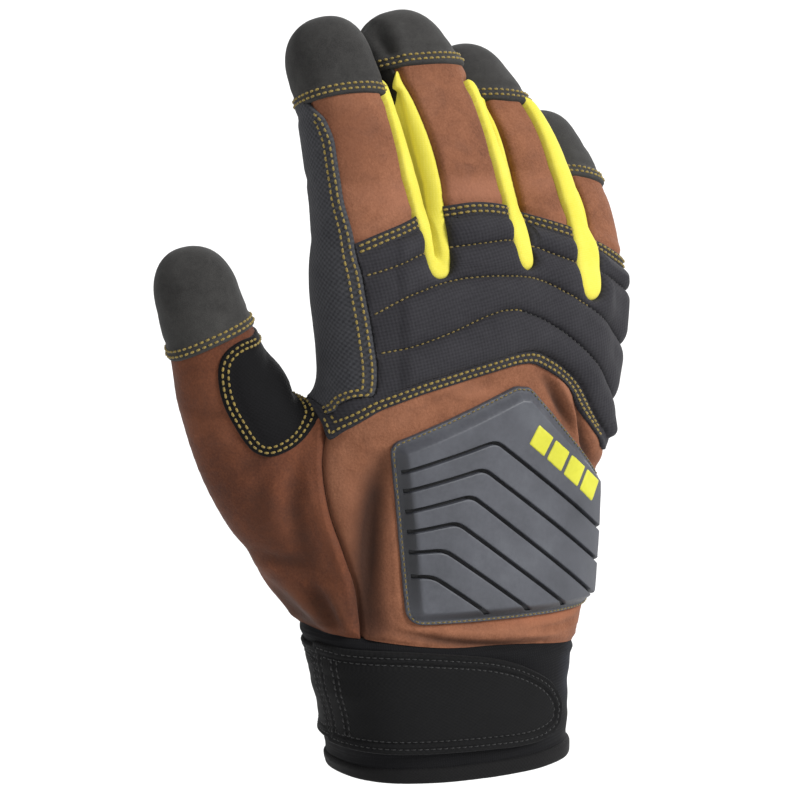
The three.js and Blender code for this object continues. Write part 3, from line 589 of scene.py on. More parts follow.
# ------------------------------------------------------------ shared wrinkles
# folds on the back: half width, depth (negative is a groove), palm limit y, points x, z
FOLDS = [
    # beside the thumb seam
    (2.4, 1.0, 30, [(-46.6, 109), (-49.6, 96), (-49.0, 88), (-46.8, 79), (-43.4, 67), (-41.6, 56), (-41.0, 47)]),
    (3.2, -1.3, 30, [(-51.5, 100), (-54.0, 90), (-53.0, 80), (-49.5, 70), (-47.0, 60)]),
    (3.4, 0.9, 24, [(-56.5, 98), (-59, 90), (-59.5, 82), (-57, 74)]),
    (2.2, -0.8, 24, [(-60, 103), (-65, 98), (-69, 96)]),
    (2.6, -0.8, 24, [(-62, 96), (-63, 88), (-61, 80)]),
    (2.0, 0.6, 20, [(-66, 104), (-70, 104), (-75, 107)]),
    (1.8, -0.6, 20, [(-70, 114), (-75, 113), (-80, 115)]),
    # the web between thumb and forefinger, and the gather in the middle cap
    (4.0, 2.4, 30, [(-58, 126), (-54.8, 124.1), (-51, 119.5), (-47.5, 116)]),
    (1.7, -1.1, 40, [(-12.0, 226.5), (-14.0, 223.0), (-13.8, 219.3), (-12.9, 215.6)]),
    (1.8, 0.7, 40, [(-8.2, 226.0), (-9.6, 222.6), (-9.6, 219.0), (-8.8, 215.8)]),
    # gathers over the cuff at the thumb
    (1.5, -2.3, 26, [(-57, 60), (-53.4, 56.4), (-50.4, 52.6), (-47.6, 48.8), (-45.4, 45.6)]),
    (1.9, 1.7, 26, [(-54, 63.4), (-50.6, 58.6), (-47.4, 53.8), (-44.6, 48.6), (-43.4, 45.4)]),
    (1.4, -1.6, 26, [(-49.0, 62), (-46.0, 56), (-43.8, 50.4), (-42.6, 46.0)]),
    (1.6, 1.0, 26, [(-45.6, 63), (-43.6, 57), (-41.8, 50), (-41.2, 46)]),
    (1.8, 0.4, 26, [(-59, 58.4), (-54.4, 53.2), (-50.6, 48.6), (-48.6, 44.6)]),
    (2.2, -1.0, 26, [(-63, 72), (-58, 68.5), (-53, 67.5), (-50, 68)]),
    # between the pad and the guard
    (1.7, -2.0, 8, [(21.0, 121.8), (24.6, 118.2), (28.0, 112.8), (30.8, 108.9), (33.6, 104.2), (36.0, 99.0)]),
    (2.0, 2.0, 8, [(24.4, 121.6), (28.2, 117.8), (32.1, 112.4), (34.4, 107.6), (36.0, 102.6), (37.6, 97.6)]),
    (1.6, -2.2, 8, [(33.0, 114.0), (36.0, 109.0), (38.2, 103.4), (40.6, 97.8), (44.0, 92.6), (47.6, 88.4)]),
    (1.9, 1.7, 8, [(39.6, 106.0), (43.2, 101.0), (46.4, 97.2), (48.8, 93.0), (51.6, 88.4)]),
    (3.2, 2.4, 13, [(49.0, 103), (52.4, 97.5), (54.4, 92.5), (54.6, 86.5)]),
    (2.2, -0.5, 8, [(-24, 116.0), (-12, 117.6), (0, 120.6), (12, 122.4)]),
    (3.4, 0.6, 8, [(-37, 106.4), (-31, 107.8), (-22, 112.6)]),
    # valley along the guard's thumb side
    (3.4, -3.4, 6, [(-30.6, 104), (-32.0, 97), (-33.6, 90), (-34.9, 82), (-35.8, 74), (-36.4, 66), (-36.8, 58), (-37.0, 50), (-37.0, 45.0)]),
    (2.0, 0.5, 6, [(-40.2, 102), (-40.8, 93), (-40.6, 84)]),
    (1.6, 0.6, 6, [(-29.4, 100), (-28.9, 90), (-28.6, 76), (-28.0, 60), (-27.4, 50)]),
    # over the cuff under the guard
    (1.5, 0.9, 4, [(-27, 48.4), (-15, 46.7), (-4, 45.3), (8, 44.8), (20, 44.4), (34, 44.6), (44, 46)]),
    (1.3, -1.7, 4, [(-31, 47.8), (-22, 45.6), (-12, 43.2), (-1, 41.2), (10, 39.6), (22, 38.6)]),
    (1.4, 0.7, 4, [(2, 43.6), (16, 42.0), (30, 40.6)]),
    (1.2, -0.5, 4, [(14, 43.8), (26, 42.6), (38, 42.6)]),
    (1.6, 0.6, 4, [(14, 42.2), (28, 41.2), (42, 41.2)]),
]


def hash_noise(P, scale, seed):
    """Smooth value noise, deterministic."""
    Q = P / scale + seed * 17.13
    i = np.floor(Q).astype(np.int64)
    f = Q - i
    f = f * f * (3 - 2 * f)

    def h(a, b, c):
        n = (a * 73856093) ^ (b * 19349663) ^ (c * 83492791) ^ (seed * 2654435761)
        n = (n ^ (n >> 13)) * 1274126177 & 0x7FFFFFFF
        n = (n ^ (n >> 16)) * 1911520717 & 0x7FFFFFFF
        return (n & 0xFFFF) / 32767.5 - 1.0
    r = 0
    for dx in (0, 1):
        for dy in (0, 1):
            for dz in (0, 1):
                w = np.abs(1 - dx - f[:, 0]) * np.abs(1 - dy - f[:, 1]) * np.abs(1 - dz - f[:, 2])
                r = r + w * h(i[:, 0] + dx, i[:, 1] + dy, i[:, 2] + dz)
    return r


def folds(m, soft=1.0):
    """Displacement shared by every layer, so that stacked pieces follow one another, and the painted shade of its
    grooves and painted highlight of its ridges.
    """
    V = m.V
    worn = np.zeros(len(V))
    Q = xz(m)
    out = 0.28 * hash_noise(V, 17.0, 3) + 0.14 * hash_noise(V, 7.5, 5)
    for w, depth, ymax, pts in FOLDS:
        line = smooth_line(pts, 5)
        near = (np.abs(Q[:, 0] - line[:, 0].mean()) < 45) & (V[:, 1] < ymax)
        if not near.any():
            continue
        q = Q[near]
        best = np.full(len(q), 1e9)
        along = np.zeros(len(q))
        for k in range(len(line) - 1):
            A, B = line[k], line[k + 1]
            u = np.clip(((q - A) @ (B - A)) / ((B - A) @ (B - A)), 0, 1)
            d = np.hypot(*(q - A - u[:, None] * (B - A)).T)
            s = d < best
            best[s] = d[s]
            along[s] = (k + u[s]) / (len(line) - 1)
        fade = np.sin(np.pi * np.clip(along, 0.02, 0.98)) ** 0.6
        side = np.clip((ymax - V[near, 1]) / 6.0, 0, 1)
        out[near] += depth * np.exp(-(best / w) ** 2) * fade * side
        # painted shade along each groove, painted highlight along each ridge
        worn[near] += np.clip(depth * (0.45 if depth < 0 else 0.35), -1, 0.6) * np.exp(-(best / (1.25 * w)) ** 2) * fade * side
    # cuff: soft bands under the binding and the strap
    z = V[:, 2]
    cuffy = np.clip((44 - z) / 8.0, 0, 1)
    out += cuffy * 0.16 * np.sin(z * 0.75 + 0.9 * hash_noise(V, 14.0, 9)) * np.clip((z - 4) / 3, 0, 1)
    # palm: creases where the hand bends
    palm = smoothstep((V[:, 1] - 4) / 8.0)
    up = m.L[:, [ORDER.index(k) for k in FINGERS]].argmin(1)
    for k, name in enumerate(FINGERS):
        s = (up == k) & (z > 120)
        q = local(name, V[s])
        w = smoothstep((z[s] - 120) / 20.0)
        palm[s] = palm[s] * (1 - w) + smoothstep((-q["d"] / q["bp"] - 0.05) / 0.5) * w
    for zc, tilt, w, depth, x0, x1 in ((137, -0.10, 2.2, -1.0, -30, 60), (118, 0.16, 2.4, -0.9, -40, 40), (96, 0.45, 2.6, -0.8, -34, 14), (163, 0, 1.7, -0.7, -48, 70)):
        c = z - (zc + tilt * V[:, 0])
        run = np.clip((V[:, 0] - x0) / 8, 0, 1) * np.clip((x1 - V[:, 0]) / 8, 0, 1)
        out += palm * run * depth * np.exp(-(c / w) ** 2)
    # finger joints
    for name, zs in (("index", (183, 201)), ("middle", (187, 206)), ("ring", (180, 196)), ("little", (168, 181))):
        i = ORDER.index(name)
        mine = m.L[:, i] < 1.5
        for zc in zs:
            w = np.exp(-((z - zc - 0.05 * V[:, 0]) / 1.6) ** 2)
            out -= mine * palm * 0.7 * w
            out -= mine * (1 - palm) * 0.18 * w
    return out * soft, worn


# --------------------------------------------------------------- making pieces
MADE = {}


def roll(e, R):
    return np.sqrt(np.clip(1 - (1 - np.clip(e / R, 0, 1)) ** 2, 0, 1))


def write_mesh(name, V, F, lay=None, sharp=40.0):
    me = bpy.data.meshes.new(name)
    me.vertices.add(len(V))
    me.vertices.foreach_set("co", (np.asarray(V) * 0.001).astype(np.float32).ravel())
    me.loops.add(F.size)
    me.loops.foreach_set("vertex_index", F.astype(np.int32).ravel())
    me.polygons.add(len(F))
    k = F.shape[1]
    me.polygons.foreach_set("loop_start", np.arange(0, F.size, k, dtype=np.int32))
    if lay is not None:
        at = me.attributes.new("lay", "FLOAT_VECTOR", "POINT")
        at.data.foreach_set("vector", np.asarray(lay, np.float32).ravel())
    me.update(calc_edges=True)
    me.validate()
    me.polygons.foreach_set("use_smooth", np.ones(len(me.polygons), bool))
    me.set_sharp_from_angle(angle=math.radians(sharp))
    ob = bpy.data.objects.new(name, me)
    bpy.context.scene.collection.objects.link(ob)
    return ob


def lay_of(limb, V):
    """Coordinates of the cloth in mm: round the limb, along it, and zero in place of depth."""
    q = local(limb, V)
    b = np.where(q["d"] > 0, q["bd"], q["bp"])
    th = np.arctan2(q["s"] / q["a"], q["d"] / b)
    r = 0.5 * (q["a"] + b)
    ends = (q["t"] > 0.9999)
    return np.stack([th * (14.0 if limb != "hand" else 38.0), q["run"] + np.where(ends, q["w"], 0), np.zeros(len(V))], 1), r


def thin_inside(ob, inside, keep):
    """Fewer triangles on the side of a piece that lies hidden against the next layer."""
    group = ob.vertex_groups.new(name="inside")
    group.add([int(v) for v in inside], 1.0, "REPLACE")
    d = ob.modifiers.new("thin", "DECIMATE")
    d.ratio = keep
    d.vertex_group = "inside"
    graph = bpy.context.evaluated_depsgraph_get()
    me = bpy.data.meshes.new_from_object(ob.evaluated_get(graph), preserve_all_data_layers=True, depsgraph=graph)
    old = ob.data
    ob.modifiers.clear()
    ob.vertex_groups.clear()
    ob.data = me
    bpy.data.meshes.remove(old)
    me.name = ob.name


def make(name, m, top, bottom, material, node=None, lay="hand", wrinkle=1.0, sharp=42.0):
    """Closes a piece of skin into a solid between its bottom and top heights."""
    if lay == "xz":
        L = np.stack([m.V[:, 0], m.V[:, 2], m.V[:, 1]], 1)
    elif lay == "yz":
        L = np.stack([m.V[:, 1], m.V[:, 2], m.V[:, 0]], 1)
    else:
        L, _ = lay_of(lay, m.V)
    w, worn = folds(m, wrinkle)
    T = m.V + m.N * (top + w)[:, None]
    B = m.V + m.N * (np.minimum(bottom, top - 0.15) + w)[:, None]
    F = m.F
    n = len(m.V)
    e = np.vstack([F[:, [0, 1]], F[:, [1, 2]], F[:, [2, 0]]])
    key = np.sort(e, 1)
    k = key[:, 0].astype(np.int64) * n + key[:, 1]
    _, first, count = np.unique(k, return_index=True, return_counts=True)
    edge = e[first[count == 1]]
    a, b = edge[:, 0], edge[:, 1]
    rim = np.vstack([np.stack([b, a, a + n], 1), np.stack([b, a + n, b + n], 1)])
    faces = np.vstack([F, F[:, ::-1] + n, rim])
    ob = write_mesh(name, np.vstack([T, B]), faces, np.vstack([L, L]), sharp)
    # the folds' painted shade and highlight, handed on to the leather's colour
    at = ob.data.attributes.new("worn", "FLOAT", "POINT")
    at.data.foreach_set("value", np.concatenate([worn, worn]).astype(np.float32))
    ob.data.materials.append(material)
    if len(faces) > 9000:
        thin_inside(ob, n + np.setdiff1d(np.arange(n), edge), 1 - 0.7 * len(F) / len(faces))
    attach(ob, "root")
    nodes = [node] if isinstance(node, str) else list(node or [])
    if nodes:
        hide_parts(*nodes)
    MADE[name] = (m, T)
    return ob


# -------------------------------------------------------------------- materials
TONE = 0.60                            # the lit side takes 1 / TONE of white's light


def lin(c):
    """A colour as it looks on the lit side, in 0-255 steps, as the surface's own colour."""
    return tuple(TONE * ((v / 255) / 12.92 if v / 255 <= 0.04045 else ((v / 255 + 0.055) / 1.055) ** 2.4) for v in c)


class Nodes:
    def __init__(self, name):
        self.mat = bpy.data.materials.new(name)
        self.mat.use_nodes = True
        self.t = self.mat.node_tree
        self.t.nodes.clear()
        self.out = self.t.nodes.new("ShaderNodeOutputMaterial")
        self.bsdf = self.t.nodes.new("ShaderNodeBsdfPrincipled")
        self.t.links.new(self.bsdf.outputs[0], self.out.inputs[0])

    def add(self, kind, **values):
        n = self.t.nodes.new(kind)
        for k, v in values.items():
            if hasattr(n, k) and k not in n.inputs:
                setattr(n, k, v)
            else:
                n.inputs[k].default_value = v
        return n

    def link(self, a, b):
        self.t.links.new(a, b)

    def math(self, op, a, b=0.5, c=None):
        n = self.t.nodes.new("ShaderNodeMath")
        n.operation = op
        for i, v in enumerate((a, b) if c is None else (a, b, c)):
            if isinstance(v, (int, float)):
                n.inputs[i].default_value = v
            else:
                self.link(v, n.inputs[i])
        return n.outputs[0]

    def mix(self, fac, a, b, blend="MIX"):
        n = self.t.nodes.new("ShaderNodeMix")
        n.data_type = "RGBA"
        n.blend_type = blend
        for sock, v in ((n.inputs[0], fac), (n.inputs[6], a), (n.inputs[7], b)):
            if isinstance(v, (int, float)):
                sock.default_value = v
            elif isinstance(v, tuple):
                sock.default_value = (*v, 1.0) if len(v) == 3 else v
            else:
                self.link(v, sock)
        return n.outputs[2]

    def lay(self, sx=1.0, sy=1.0, sz=1.0, rot=0.0):
        a = self.add("ShaderNodeAttribute")
        a.attribute_name = "lay"
        m = self.add("ShaderNodeMapping")
        m.inputs["Scale"].default_value = (sx, sy, sz)
        m.inputs["Rotation"].default_value = (0, 0, rot)
        self.link(a.outputs["Vector"], m.inputs["Vector"])
        return m.outputs[0]

    def obj(self, s=1000.0):
        c = self.add("ShaderNodeTexCoord")
        m = self.add("ShaderNodeMapping")
        m.inputs["Scale"].default_value = (s, s, s)
        self.link(c.outputs["Object"], m.inputs["Vector"])
        return m.outputs[0]

    def noise(self, vec, scale, detail=4.0, rough=0.55, dist=0.0):
        n = self.add("ShaderNodeTexNoise")
        n.inputs["Scale"].default_value = scale
        n.inputs["Detail"].default_value = detail
        n.inputs["Roughness"].default_value = rough
        n.inputs["Distortion"].default_value = dist
        self.link(vec, n.inputs["Vector"])
        return n.outputs[0]

    def voronoi(self, vec, scale, feature="F1", rand=1.0):
        n = self.add("ShaderNodeTexVoronoi")
        n.feature = feature
        n.inputs["Scale"].default_value = scale
        n.inputs["Randomness"].default_value = rand
        self.link(vec, n.inputs["Vector"])
        return n.outputs["Distance"]

    def ramp(self, fac, stops):
        r = self.add("ShaderNodeValToRGB")
        el = r.color_ramp.elements
        while len(el) < len(stops):
            el.new(0.5)
        for e, (p, c) in zip(el, stops):
            e.position = p
            e.color = (*c, 1.0) if len(c) == 3 else c
        self.link(fac, r.inputs[0])
        return r.outputs[0]

    def weave(self, period_u, period_v, rot=0.0):
        """Height of a plain weave, threads along u and v, from 0 to 1."""
        v = self.lay(1, 1, 1, rot)
        s = self.add("ShaderNodeSeparateXYZ")
        self.link(v, s.inputs[0])
        u = self.math("MULTIPLY", s.outputs[0], math.pi / period_u)
        w = self.math("MULTIPLY", s.outputs[1], math.pi / period_v)
        a = self.math("SINE", u)
        b = self.math("SINE", w)
        p = self.math("MULTIPLY", a, b)
        return self.math("MULTIPLY_ADD", p, 0.5, 0.5)

    def ribs(self, period, axis=0, rot=0.0):
        v = self.lay(1, 1, 1, rot)
        s = self.add("ShaderNodeSeparateXYZ")
        self.link(v, s.inputs[0])
        a = self.math("SINE", self.math("MULTIPLY", s.outputs[axis], 2 * math.pi / period))
        return self.math("MULTIPLY_ADD", a, 0.5, 0.5)

    def spot(self, x, z, rx, rz, turn=0.0, ragged=0.5):
        """A soft patch round a place seen from the back, sizes in mm, from 1 in its middle to 0."""
        m = self.add("ShaderNodeMapping")
        m.vector_type = "TEXTURE"
        m.inputs["Location"].default_value = (x, 0, z)
        m.inputs["Rotation"].default_value = (0, math.radians(turn), 0)
        m.inputs["Scale"].default_value = (rx, 1e4, rz)
        o = self.obj()
        self.link(o, m.inputs["Vector"])
        d = self.add("ShaderNodeVectorMath")
        d.operation = "LENGTH"
        self.link(m.outputs[0], d.inputs[0])
        far = self.math("MULTIPLY_ADD", self.noise(o, 0.14, 3, 0.6), ragged, d.outputs["Value"])
        return self.ramp(far, [(0.35 + ragged * 0.3, (1, 1, 1)), (0.98, (0, 0, 0))])

    def bump(self, heights):
        """heights: [(socket, strength, distance in mm)], stacked."""
        prev = None
        for h, strength, dist in heights:
            b = self.add("ShaderNodeBump")
            b.inputs["Strength"].default_value = strength
            b.inputs["Distance"].default_value = dist * 0.001
            self.link(h, b.inputs["Height"])
            if prev is not None:
                self.link(prev, b.inputs["Normal"])
            prev = b.outputs[0]
        self.link(prev, self.bsdf.inputs["Normal"])

    def finish(self, color=None, rough=None, **consts):
        if color is not None:
            if isinstance(color, tuple):
                self.bsdf.inputs["Base Color"].default_value = (*color, 1)
            else:
                self.link(color, self.bsdf.inputs["Base Color"])
        if rough is not None:
            if isinstance(rough, (int, float)):
                self.bsdf.inputs["Roughness"].default_value = rough
            else:
                self.link(rough, self.bsdf.inputs["Roughness"])
        for k, v in consts.items():
            self.bsdf.inputs[k.replace("_", " ")].default_value = v
        return self.mat


def leather_brown(name, base, dark, light, spots=(), crease_shade_tone=(50, 31, 23)):
    n = Nodes(name)
    o = n.obj()
    big = n.noise(o, 0.035, 4, 0.6, 0.4)
    mid = n.noise(o, 0.16, 5, 0.65, 0.6)
    fine = n.noise(o, 1.5, 4, 0.7)
    c = n.ramp(big, [(0.34, lin(dark)), (0.50, lin(base)), (0.66, lin(light))])
    c = n.mix(0.45, c, n.ramp(mid, [(0.32, lin(dark)), (0.55, lin(base)), (0.74, lin(light))]))
    c = n.mix(0.30, c, n.ramp(fine, [(0.34, lin(dark)), (0.66, lin(light))]))
    # spots: patches of painted shade and painted highlight
    for place, tone, strength in spots:
        c = n.mix(n.math("MULTIPLY", n.spot(*place), strength), c, lin(tone))
    # painted shade toward the deep brown in the fold grooves, painted highlight toward the light tone on the ridges
    w = n.add("ShaderNodeAttribute")
    w.attribute_name = "worn"
    w = n.math("MULTIPLY_ADD", n.noise(o, 0.3, 3, 0.6), 0.16, n.math("SUBTRACT", w.outputs["Fac"], 0.08))
    c = n.mix(n.ramp(n.math("MULTIPLY", w, -1.0), [(0.08, (0, 0, 0)), (0.85, (0.86,) * 3)]), c, lin(crease_shade_tone))
    c = n.mix(n.ramp(w, [(0.08, (0, 0, 0)), (0.6, (0.55,) * 3)]), c, lin(light))
    cells = n.voronoi(o, 1.15)
    cells2 = n.voronoi(o, 2.6)
    rough = n.ramp(mid, [(0.3, (0.74,) * 3), (0.7, (0.9,) * 3)])
    n.bump([(mid, 0.35, 0.5), (cells, 0.35, 0.22), (cells2, 0.3, 0.10), (fine, 0.3, 0.10)])
    return n.finish(c, rough, Sheen_Weight=0.03, Sheen_Roughness=0.5, Specular_IOR_Level=0.18)


def suede_dark(name, base=(66, 65, 63), dark=(44, 43, 43), light=(88, 87, 84)):
    n = Nodes(name)
    o = n.obj()
    big = n.noise(o, 0.05, 4, 0.6, 0.3)
    mid = n.noise(o, 0.35, 5, 0.7, 0.4)
    nap = n.noise(o, 3.2, 3, 0.75)
    c = n.ramp(big, [(0.3, lin(dark)), (0.55, lin(base)), (0.75, lin(light))])
    c = n.mix(0.4, c, n.ramp(mid, [(0.3, lin(dark)), (0.72, lin(light))]))
    c = n.mix(0.35, c, n.ramp(nap, [(0.35, lin(dark)), (0.68, lin(light))]))
    n.bump([(mid, 0.25, 0.35), (nap, 0.5, 0.13)])
    return n.finish(c, 0.92, Sheen_Weight=0.06, Sheen_Roughness=0.45, Specular_IOR_Level=0.16)


def textile(name, base, dark, light, pu=0.62, pv=0.62, rot=0.0, rough=0.86, sheen=0.04, strength=0.5, spots=()):
    n = Nodes(name)
    o = n.obj()
    big = n.noise(o, 0.06, 4, 0.6, 0.3)
    fuzz = n.noise(o, 1.3, 4, 0.75)
    w = n.weave(pu, pv, rot)
    c = n.ramp(big, [(0.32, lin(dark)), (0.68, lin(base))])
    c = n.mix(0.35, c, n.ramp(w, [(0.15, lin(dark)), (0.85, lin(light))]))
    c = n.mix(0.25, c, n.ramp(fuzz, [(0.34, lin(dark)), (0.68, lin(light))]))
    # spots: patches of painted light and shade
    for place, tone, share in spots:
        c = n.mix(n.math("MULTIPLY", n.spot(*place), share), c, lin(tone))
    n.bump([(big, 0.12, 0.6), (w, strength, 0.16), (fuzz, 0.25, 0.10)])
    return n.finish(c, rough, Sheen_Weight=sheen, Sheen_Roughness=0.4, Specular_IOR_Level=0.14)


def knit(name, base, dark, light, period=0.9, axis=1, rough=0.88, strength=0.5, spots=(), **more):
    n = Nodes(name)
    o = n.obj()
    big = n.noise(o, 0.07, 3, 0.6)
    fuzz = n.noise(o, 2.0, 3, 0.7)
    r = n.ribs(period, axis)
    r2 = n.ribs(period * 0.8, 1 - axis)
    rr = n.math("MULTIPLY", r, r2)
    c = n.ramp(big, [(0.3, lin(dark)), (0.7, lin(base))])
    c = n.mix(0.25, c, n.ramp(rr, [(0.0, lin(dark)), (0.8, lin(light))]))
    c = n.mix(0.2, c, n.ramp(fuzz, [(0.35, lin(dark)), (0.68, lin(light))]))
    # spots: patches of painted light and shade
    for place, tone, share in spots:
        c = n.mix(n.math("MULTIPLY", n.spot(*place), share), c, lin(tone))
    n.bump([(rr, strength, 0.16), (fuzz, 0.25, 0.08)])
    return n.finish(c, rough, Sheen_Weight=0.03, Sheen_Roughness=0.4, Specular_IOR_Level=0.14, **more)


def rubber(name, base, dark, light, rough=0.5, patches=()):
    n = Nodes(name)
    o = n.obj()
    big = n.noise(o, 0.05, 3, 0.6)
    spots = n.noise(o, 0.9, 3, 0.6)
    fine = n.noise(o, 4.0, 2, 0.6)
    c = n.ramp(big, [(0.3, lin(dark)), (0.55, lin(base)), (0.75, lin(light))])
    c = n.mix(0.2, c, n.ramp(spots, [(0.35, lin(dark)), (0.7, lin(light))]))
    # patches: painted shade laid over the colour
    for place, tone, share in patches:
        c = n.mix(n.math("MULTIPLY", n.spot(*place), share), c, lin(tone))
    r = n.ramp(spots, [(0.3, (rough - 0.06,) * 3), (0.7, (rough + 0.08,) * 3)])
    n.bump([(spots, 0.12, 0.12), (fine, 0.25, 0.05)])
    return n.finish(c, r, Specular_IOR_Level=0.45)


def thread(name, base, dark, light):
    n = Nodes(name)
    r = n.ribs(0.42, 0)
    o = n.obj()
    v = n.noise(o, 0.25, 3, 0.6)
    f = n.noise(o, 3.0, 2, 0.6)
    c = n.ramp(v, [(0.3, lin(dark)), (0.7, lin(base))])
    c = n.mix(0.4, c, n.ramp(r, [(0.1, lin(dark)), (0.9, lin(light))]))
    c = n.mix(0.25, c, n.ramp(f, [(0.3, lin(dark)), (0.7, lin(light))]))
    n.bump([(r, 0.6, 0.12)])
    return n.finish(c, 0.6, Sheen_Weight=0.2, Specular_IOR_Level=0.4)


# painted shade over the forefinger, painted highlight in a band across the finger backs above the pad
M_BROWN = leather_brown("brown_leather", (152, 98, 70), (108, 64, 42), (178, 121, 92), (
    ((-37, 196, 18, 26, 0), (130, 81, 57), 0.5), ((0, 177, 60, 8, 0), (178, 120, 94), 0.45)))
# painted shade down the valley beside the guard and at the guard's lower thumb-side corner, painted highlight in bands
# just under the guard and along the pad's lower edge
M_BACK = leather_brown("brown_leather_back", (152, 98, 70), (108, 64, 42), (178, 121, 92), (
    ((-37, 72, 13, 44, 0), (124, 77, 54), 0.75), ((-36.0, 50, 13, 14, 0), (84, 50, 35), 0.75),
    ((20, 46.5, 34, 3.4, 2), (180, 114, 83), 0.4), ((-8, 120, 30, 4.5, 14), (180, 120, 90), 0.5)))
# a darker copy of the brown leather, partly the thumb panel's own deeper tone and partly painted shade; its spots are
# painted shade in the gathers at the thumb's base and along the thumb
M_BROWN_THUMB = leather_brown("brown_leather_thumb", (108, 61, 39), (72, 38, 25), (138, 84, 58), (
    ((-48, 52, 14, 13, 0), (64, 40, 28), 0.6), ((-60, 80, 8, 20, -20), (84, 49, 33), 0.5)))
M_CAP = suede_dark("cap_suede", (62, 61, 60), (41, 40, 40), (83, 82, 80))
M_PALM = suede_dark("palm_suede", (50, 49, 48), (35, 34, 34), (68, 67, 65))
M_PAD = textile("pad_textile", (57, 56, 60), (41, 40, 44), (74, 73, 78), 0.7, 0.7, 0.6, strength=0.28)
M_SIDE = textile("side_textile", (76, 76, 79), (46, 46, 50), (104, 105, 110), 0.8, 0.8, 0.2, strength=0.4)
M_WEB = textile("web_textile", (14, 14, 16), (8, 8, 9), (26, 25, 28), 0.6, 0.6, 0.3, strength=0.3)
# its emission is a painted glow that lifts the strips' shaded sides; the fabric itself is a fluorescent lime
M_LIME = knit("lime_knit", (242, 230, 96), (224, 212, 62), (250, 242, 136), 0.6, 1, strength=0.08, Emission_Color=(0.80, 0.72, 0.10, 1), Emission_Strength=0.17)
# patches of painted shade on the guard's left and lower bevels
M_GUARD = rubber("guard_rubber", (82, 84, 92), (65, 67, 74), (99, 102, 109), 0.52, (
    ((-25.4, 77, 2.7, 33, -3.2, 0.1), (34, 36, 42), 0.92), ((8.0, 50.5, 38, 2.4, 2.4, 0.1), (40, 42, 48), 0.85)))
# near-black rubber for the slot floors: painted shade in the slots
M_SLOT = rubber("guard_slot", (16, 17, 22), (10, 11, 15), (26, 27, 33), 0.6)
M_MARK = rubber("mark_rubber", (228, 226, 52), (206, 204, 40), (240, 238, 84), 0.5)
# lighter, bluer patches on the cuff's right side: painted highlight
M_CUFF = knit("cuff_knit", (21, 21, 23), (13, 13, 15), (33, 33, 37), 0.9, 1, spots=(((40, 26, 17, 17, 0), (40, 43, 54), 0.85), ((46, 6, 16, 20, 0), (40, 41, 46), 0.6)))
M_STRAP = textile("strap_textile", (20, 20, 21), (13, 13, 14), (31, 31, 32), 0.8, 0.55, 0.0, strength=0.35)
# a patch of painted highlight on the binding's right side
M_BIND = textile("binding_textile", (24, 23, 24), (16, 16, 17), (36, 35, 36), 0.6, 0.6, 0.0, strength=0.35, spots=(((46, 6, 16, 20, 0), (42, 43, 47), 0.6),))
M_GOLD = thread("gold_thread", (166, 138, 46), (104, 82, 24), (202, 178, 78))
M_OLIVE = thread("olive_thread", (140, 116, 46), (84, 68, 28), (180, 156, 70))
M_DARK = thread("dark_thread", (34, 33, 32), (22, 21, 21), (54, 52, 49))
M_BLACK = thread("black_thread", (12, 12, 13), (7, 7, 8), (20, 20, 21))

# --------------------------------------------------------------------- the skin
skin = build_skin(GRID)
print("skin", len(skin.V), "points")


def edge(m, *fns):
    return np.min([-fn(m) for fn in fns], axis=0)


def seam_dip(e, depth=0.55, w=1.1, shoulder=0.22):
    return -depth * np.exp(-(e / w) ** 2) + shoulder * np.exp(-((e - 2.4) / 1.3) ** 2)


SEAM = (-2.2, -1.1, -0.45, 0.0)
ROLL = (-1.2, -0.55, -0.18, 0.0)

# cuff, binding and strap
f_bind_low = lambda m: -m.V[:, 2] - 0.011 * m.V[:, 0]
f_above_bind = lambda m: 4.9 - m.V[:, 2]
m = cut(skin, [(f_cuff, SEAM), (lambda m: 3.6 - m.V[:, 2], (0.0,))])
make("cuff_tube", m, seam_dip(edge(m, f_cuff), 0.9, 1.2, 0.3), np.full(len(m.V), -2.6), M_CUFF, "cuff")
m = cut(skin, [(f_bind_low, (-3.5, -2.0, -0.9, -0.35, 0.0)), (lambda m: m.V[:, 2] - 5.0, (-2.4, -1.2, -0.45, 0.0))])
e = edge(m, f_bind_low, lambda m: m.V[:, 2] - 5.0)
make("cuff_binding_band", m, 0.1 + 1.0 * roll(e, 1.6), np.full(len(m.V), -2.6), M_BIND, "cuff_binding")
m = cut(skin, [(f_strap, (-4.6, -3.5, -2.9, -2.5, -1.9, -1.2, -0.55, -0.18, 0.0))])
e = edge(m, f_strap)
hem = 0.55 * roll(e, 0.5) * (1 - smoothstep((e - 0.9) / 0.7)) + 0.4 * np.exp(-((e - 2.6) / 0.42) ** 2) - 0.35 * np.exp(-((e - 3.5) / 0.5) ** 2)
thin = 0.5 + 0.5 * smoothstep((m.V[:, 0] + 43.0) / 14.0)
sewn = -0.45 * np.exp(-((m.V[:, 1] + 8.0) / 0.55) ** 2) * (m.V[:, 0] < -30)
make("closing_strap", m, (0.7 + 1.3 * roll(e, 0.8) + hem + sewn) * thin, np.full(len(m.V), 0.3), M_STRAP, "cuff_strap", wrinkle=0.6)

# back of the hand
f_not_thumb = lambda m: 0.0 - f_thumb(m)
f_not_cuff = outside(f_cuff)
f_low = lambda m: 1.6 - above_pad_top(m)
m = refine(cut(skin, [(f_low, (0.0,)), (outside(f_any_gusset, -0.8), (0.0,)), (f_back, SEAM), (f_not_thumb, SEAM), (f_not_cuff, SEAM)]))
e = edge(m, f_back, f_not_cuff)
et = edge(m, f_not_thumb)
make("back_leather", m, seam_dip(e) - 2.0 * np.exp(-(et / 1.0) ** 2) + 0.3 * np.exp(-((et - 3.4) / 1.6) ** 2), np.full(len(m.V), -1.8), M_BACK, "back_panel", lay="xz")

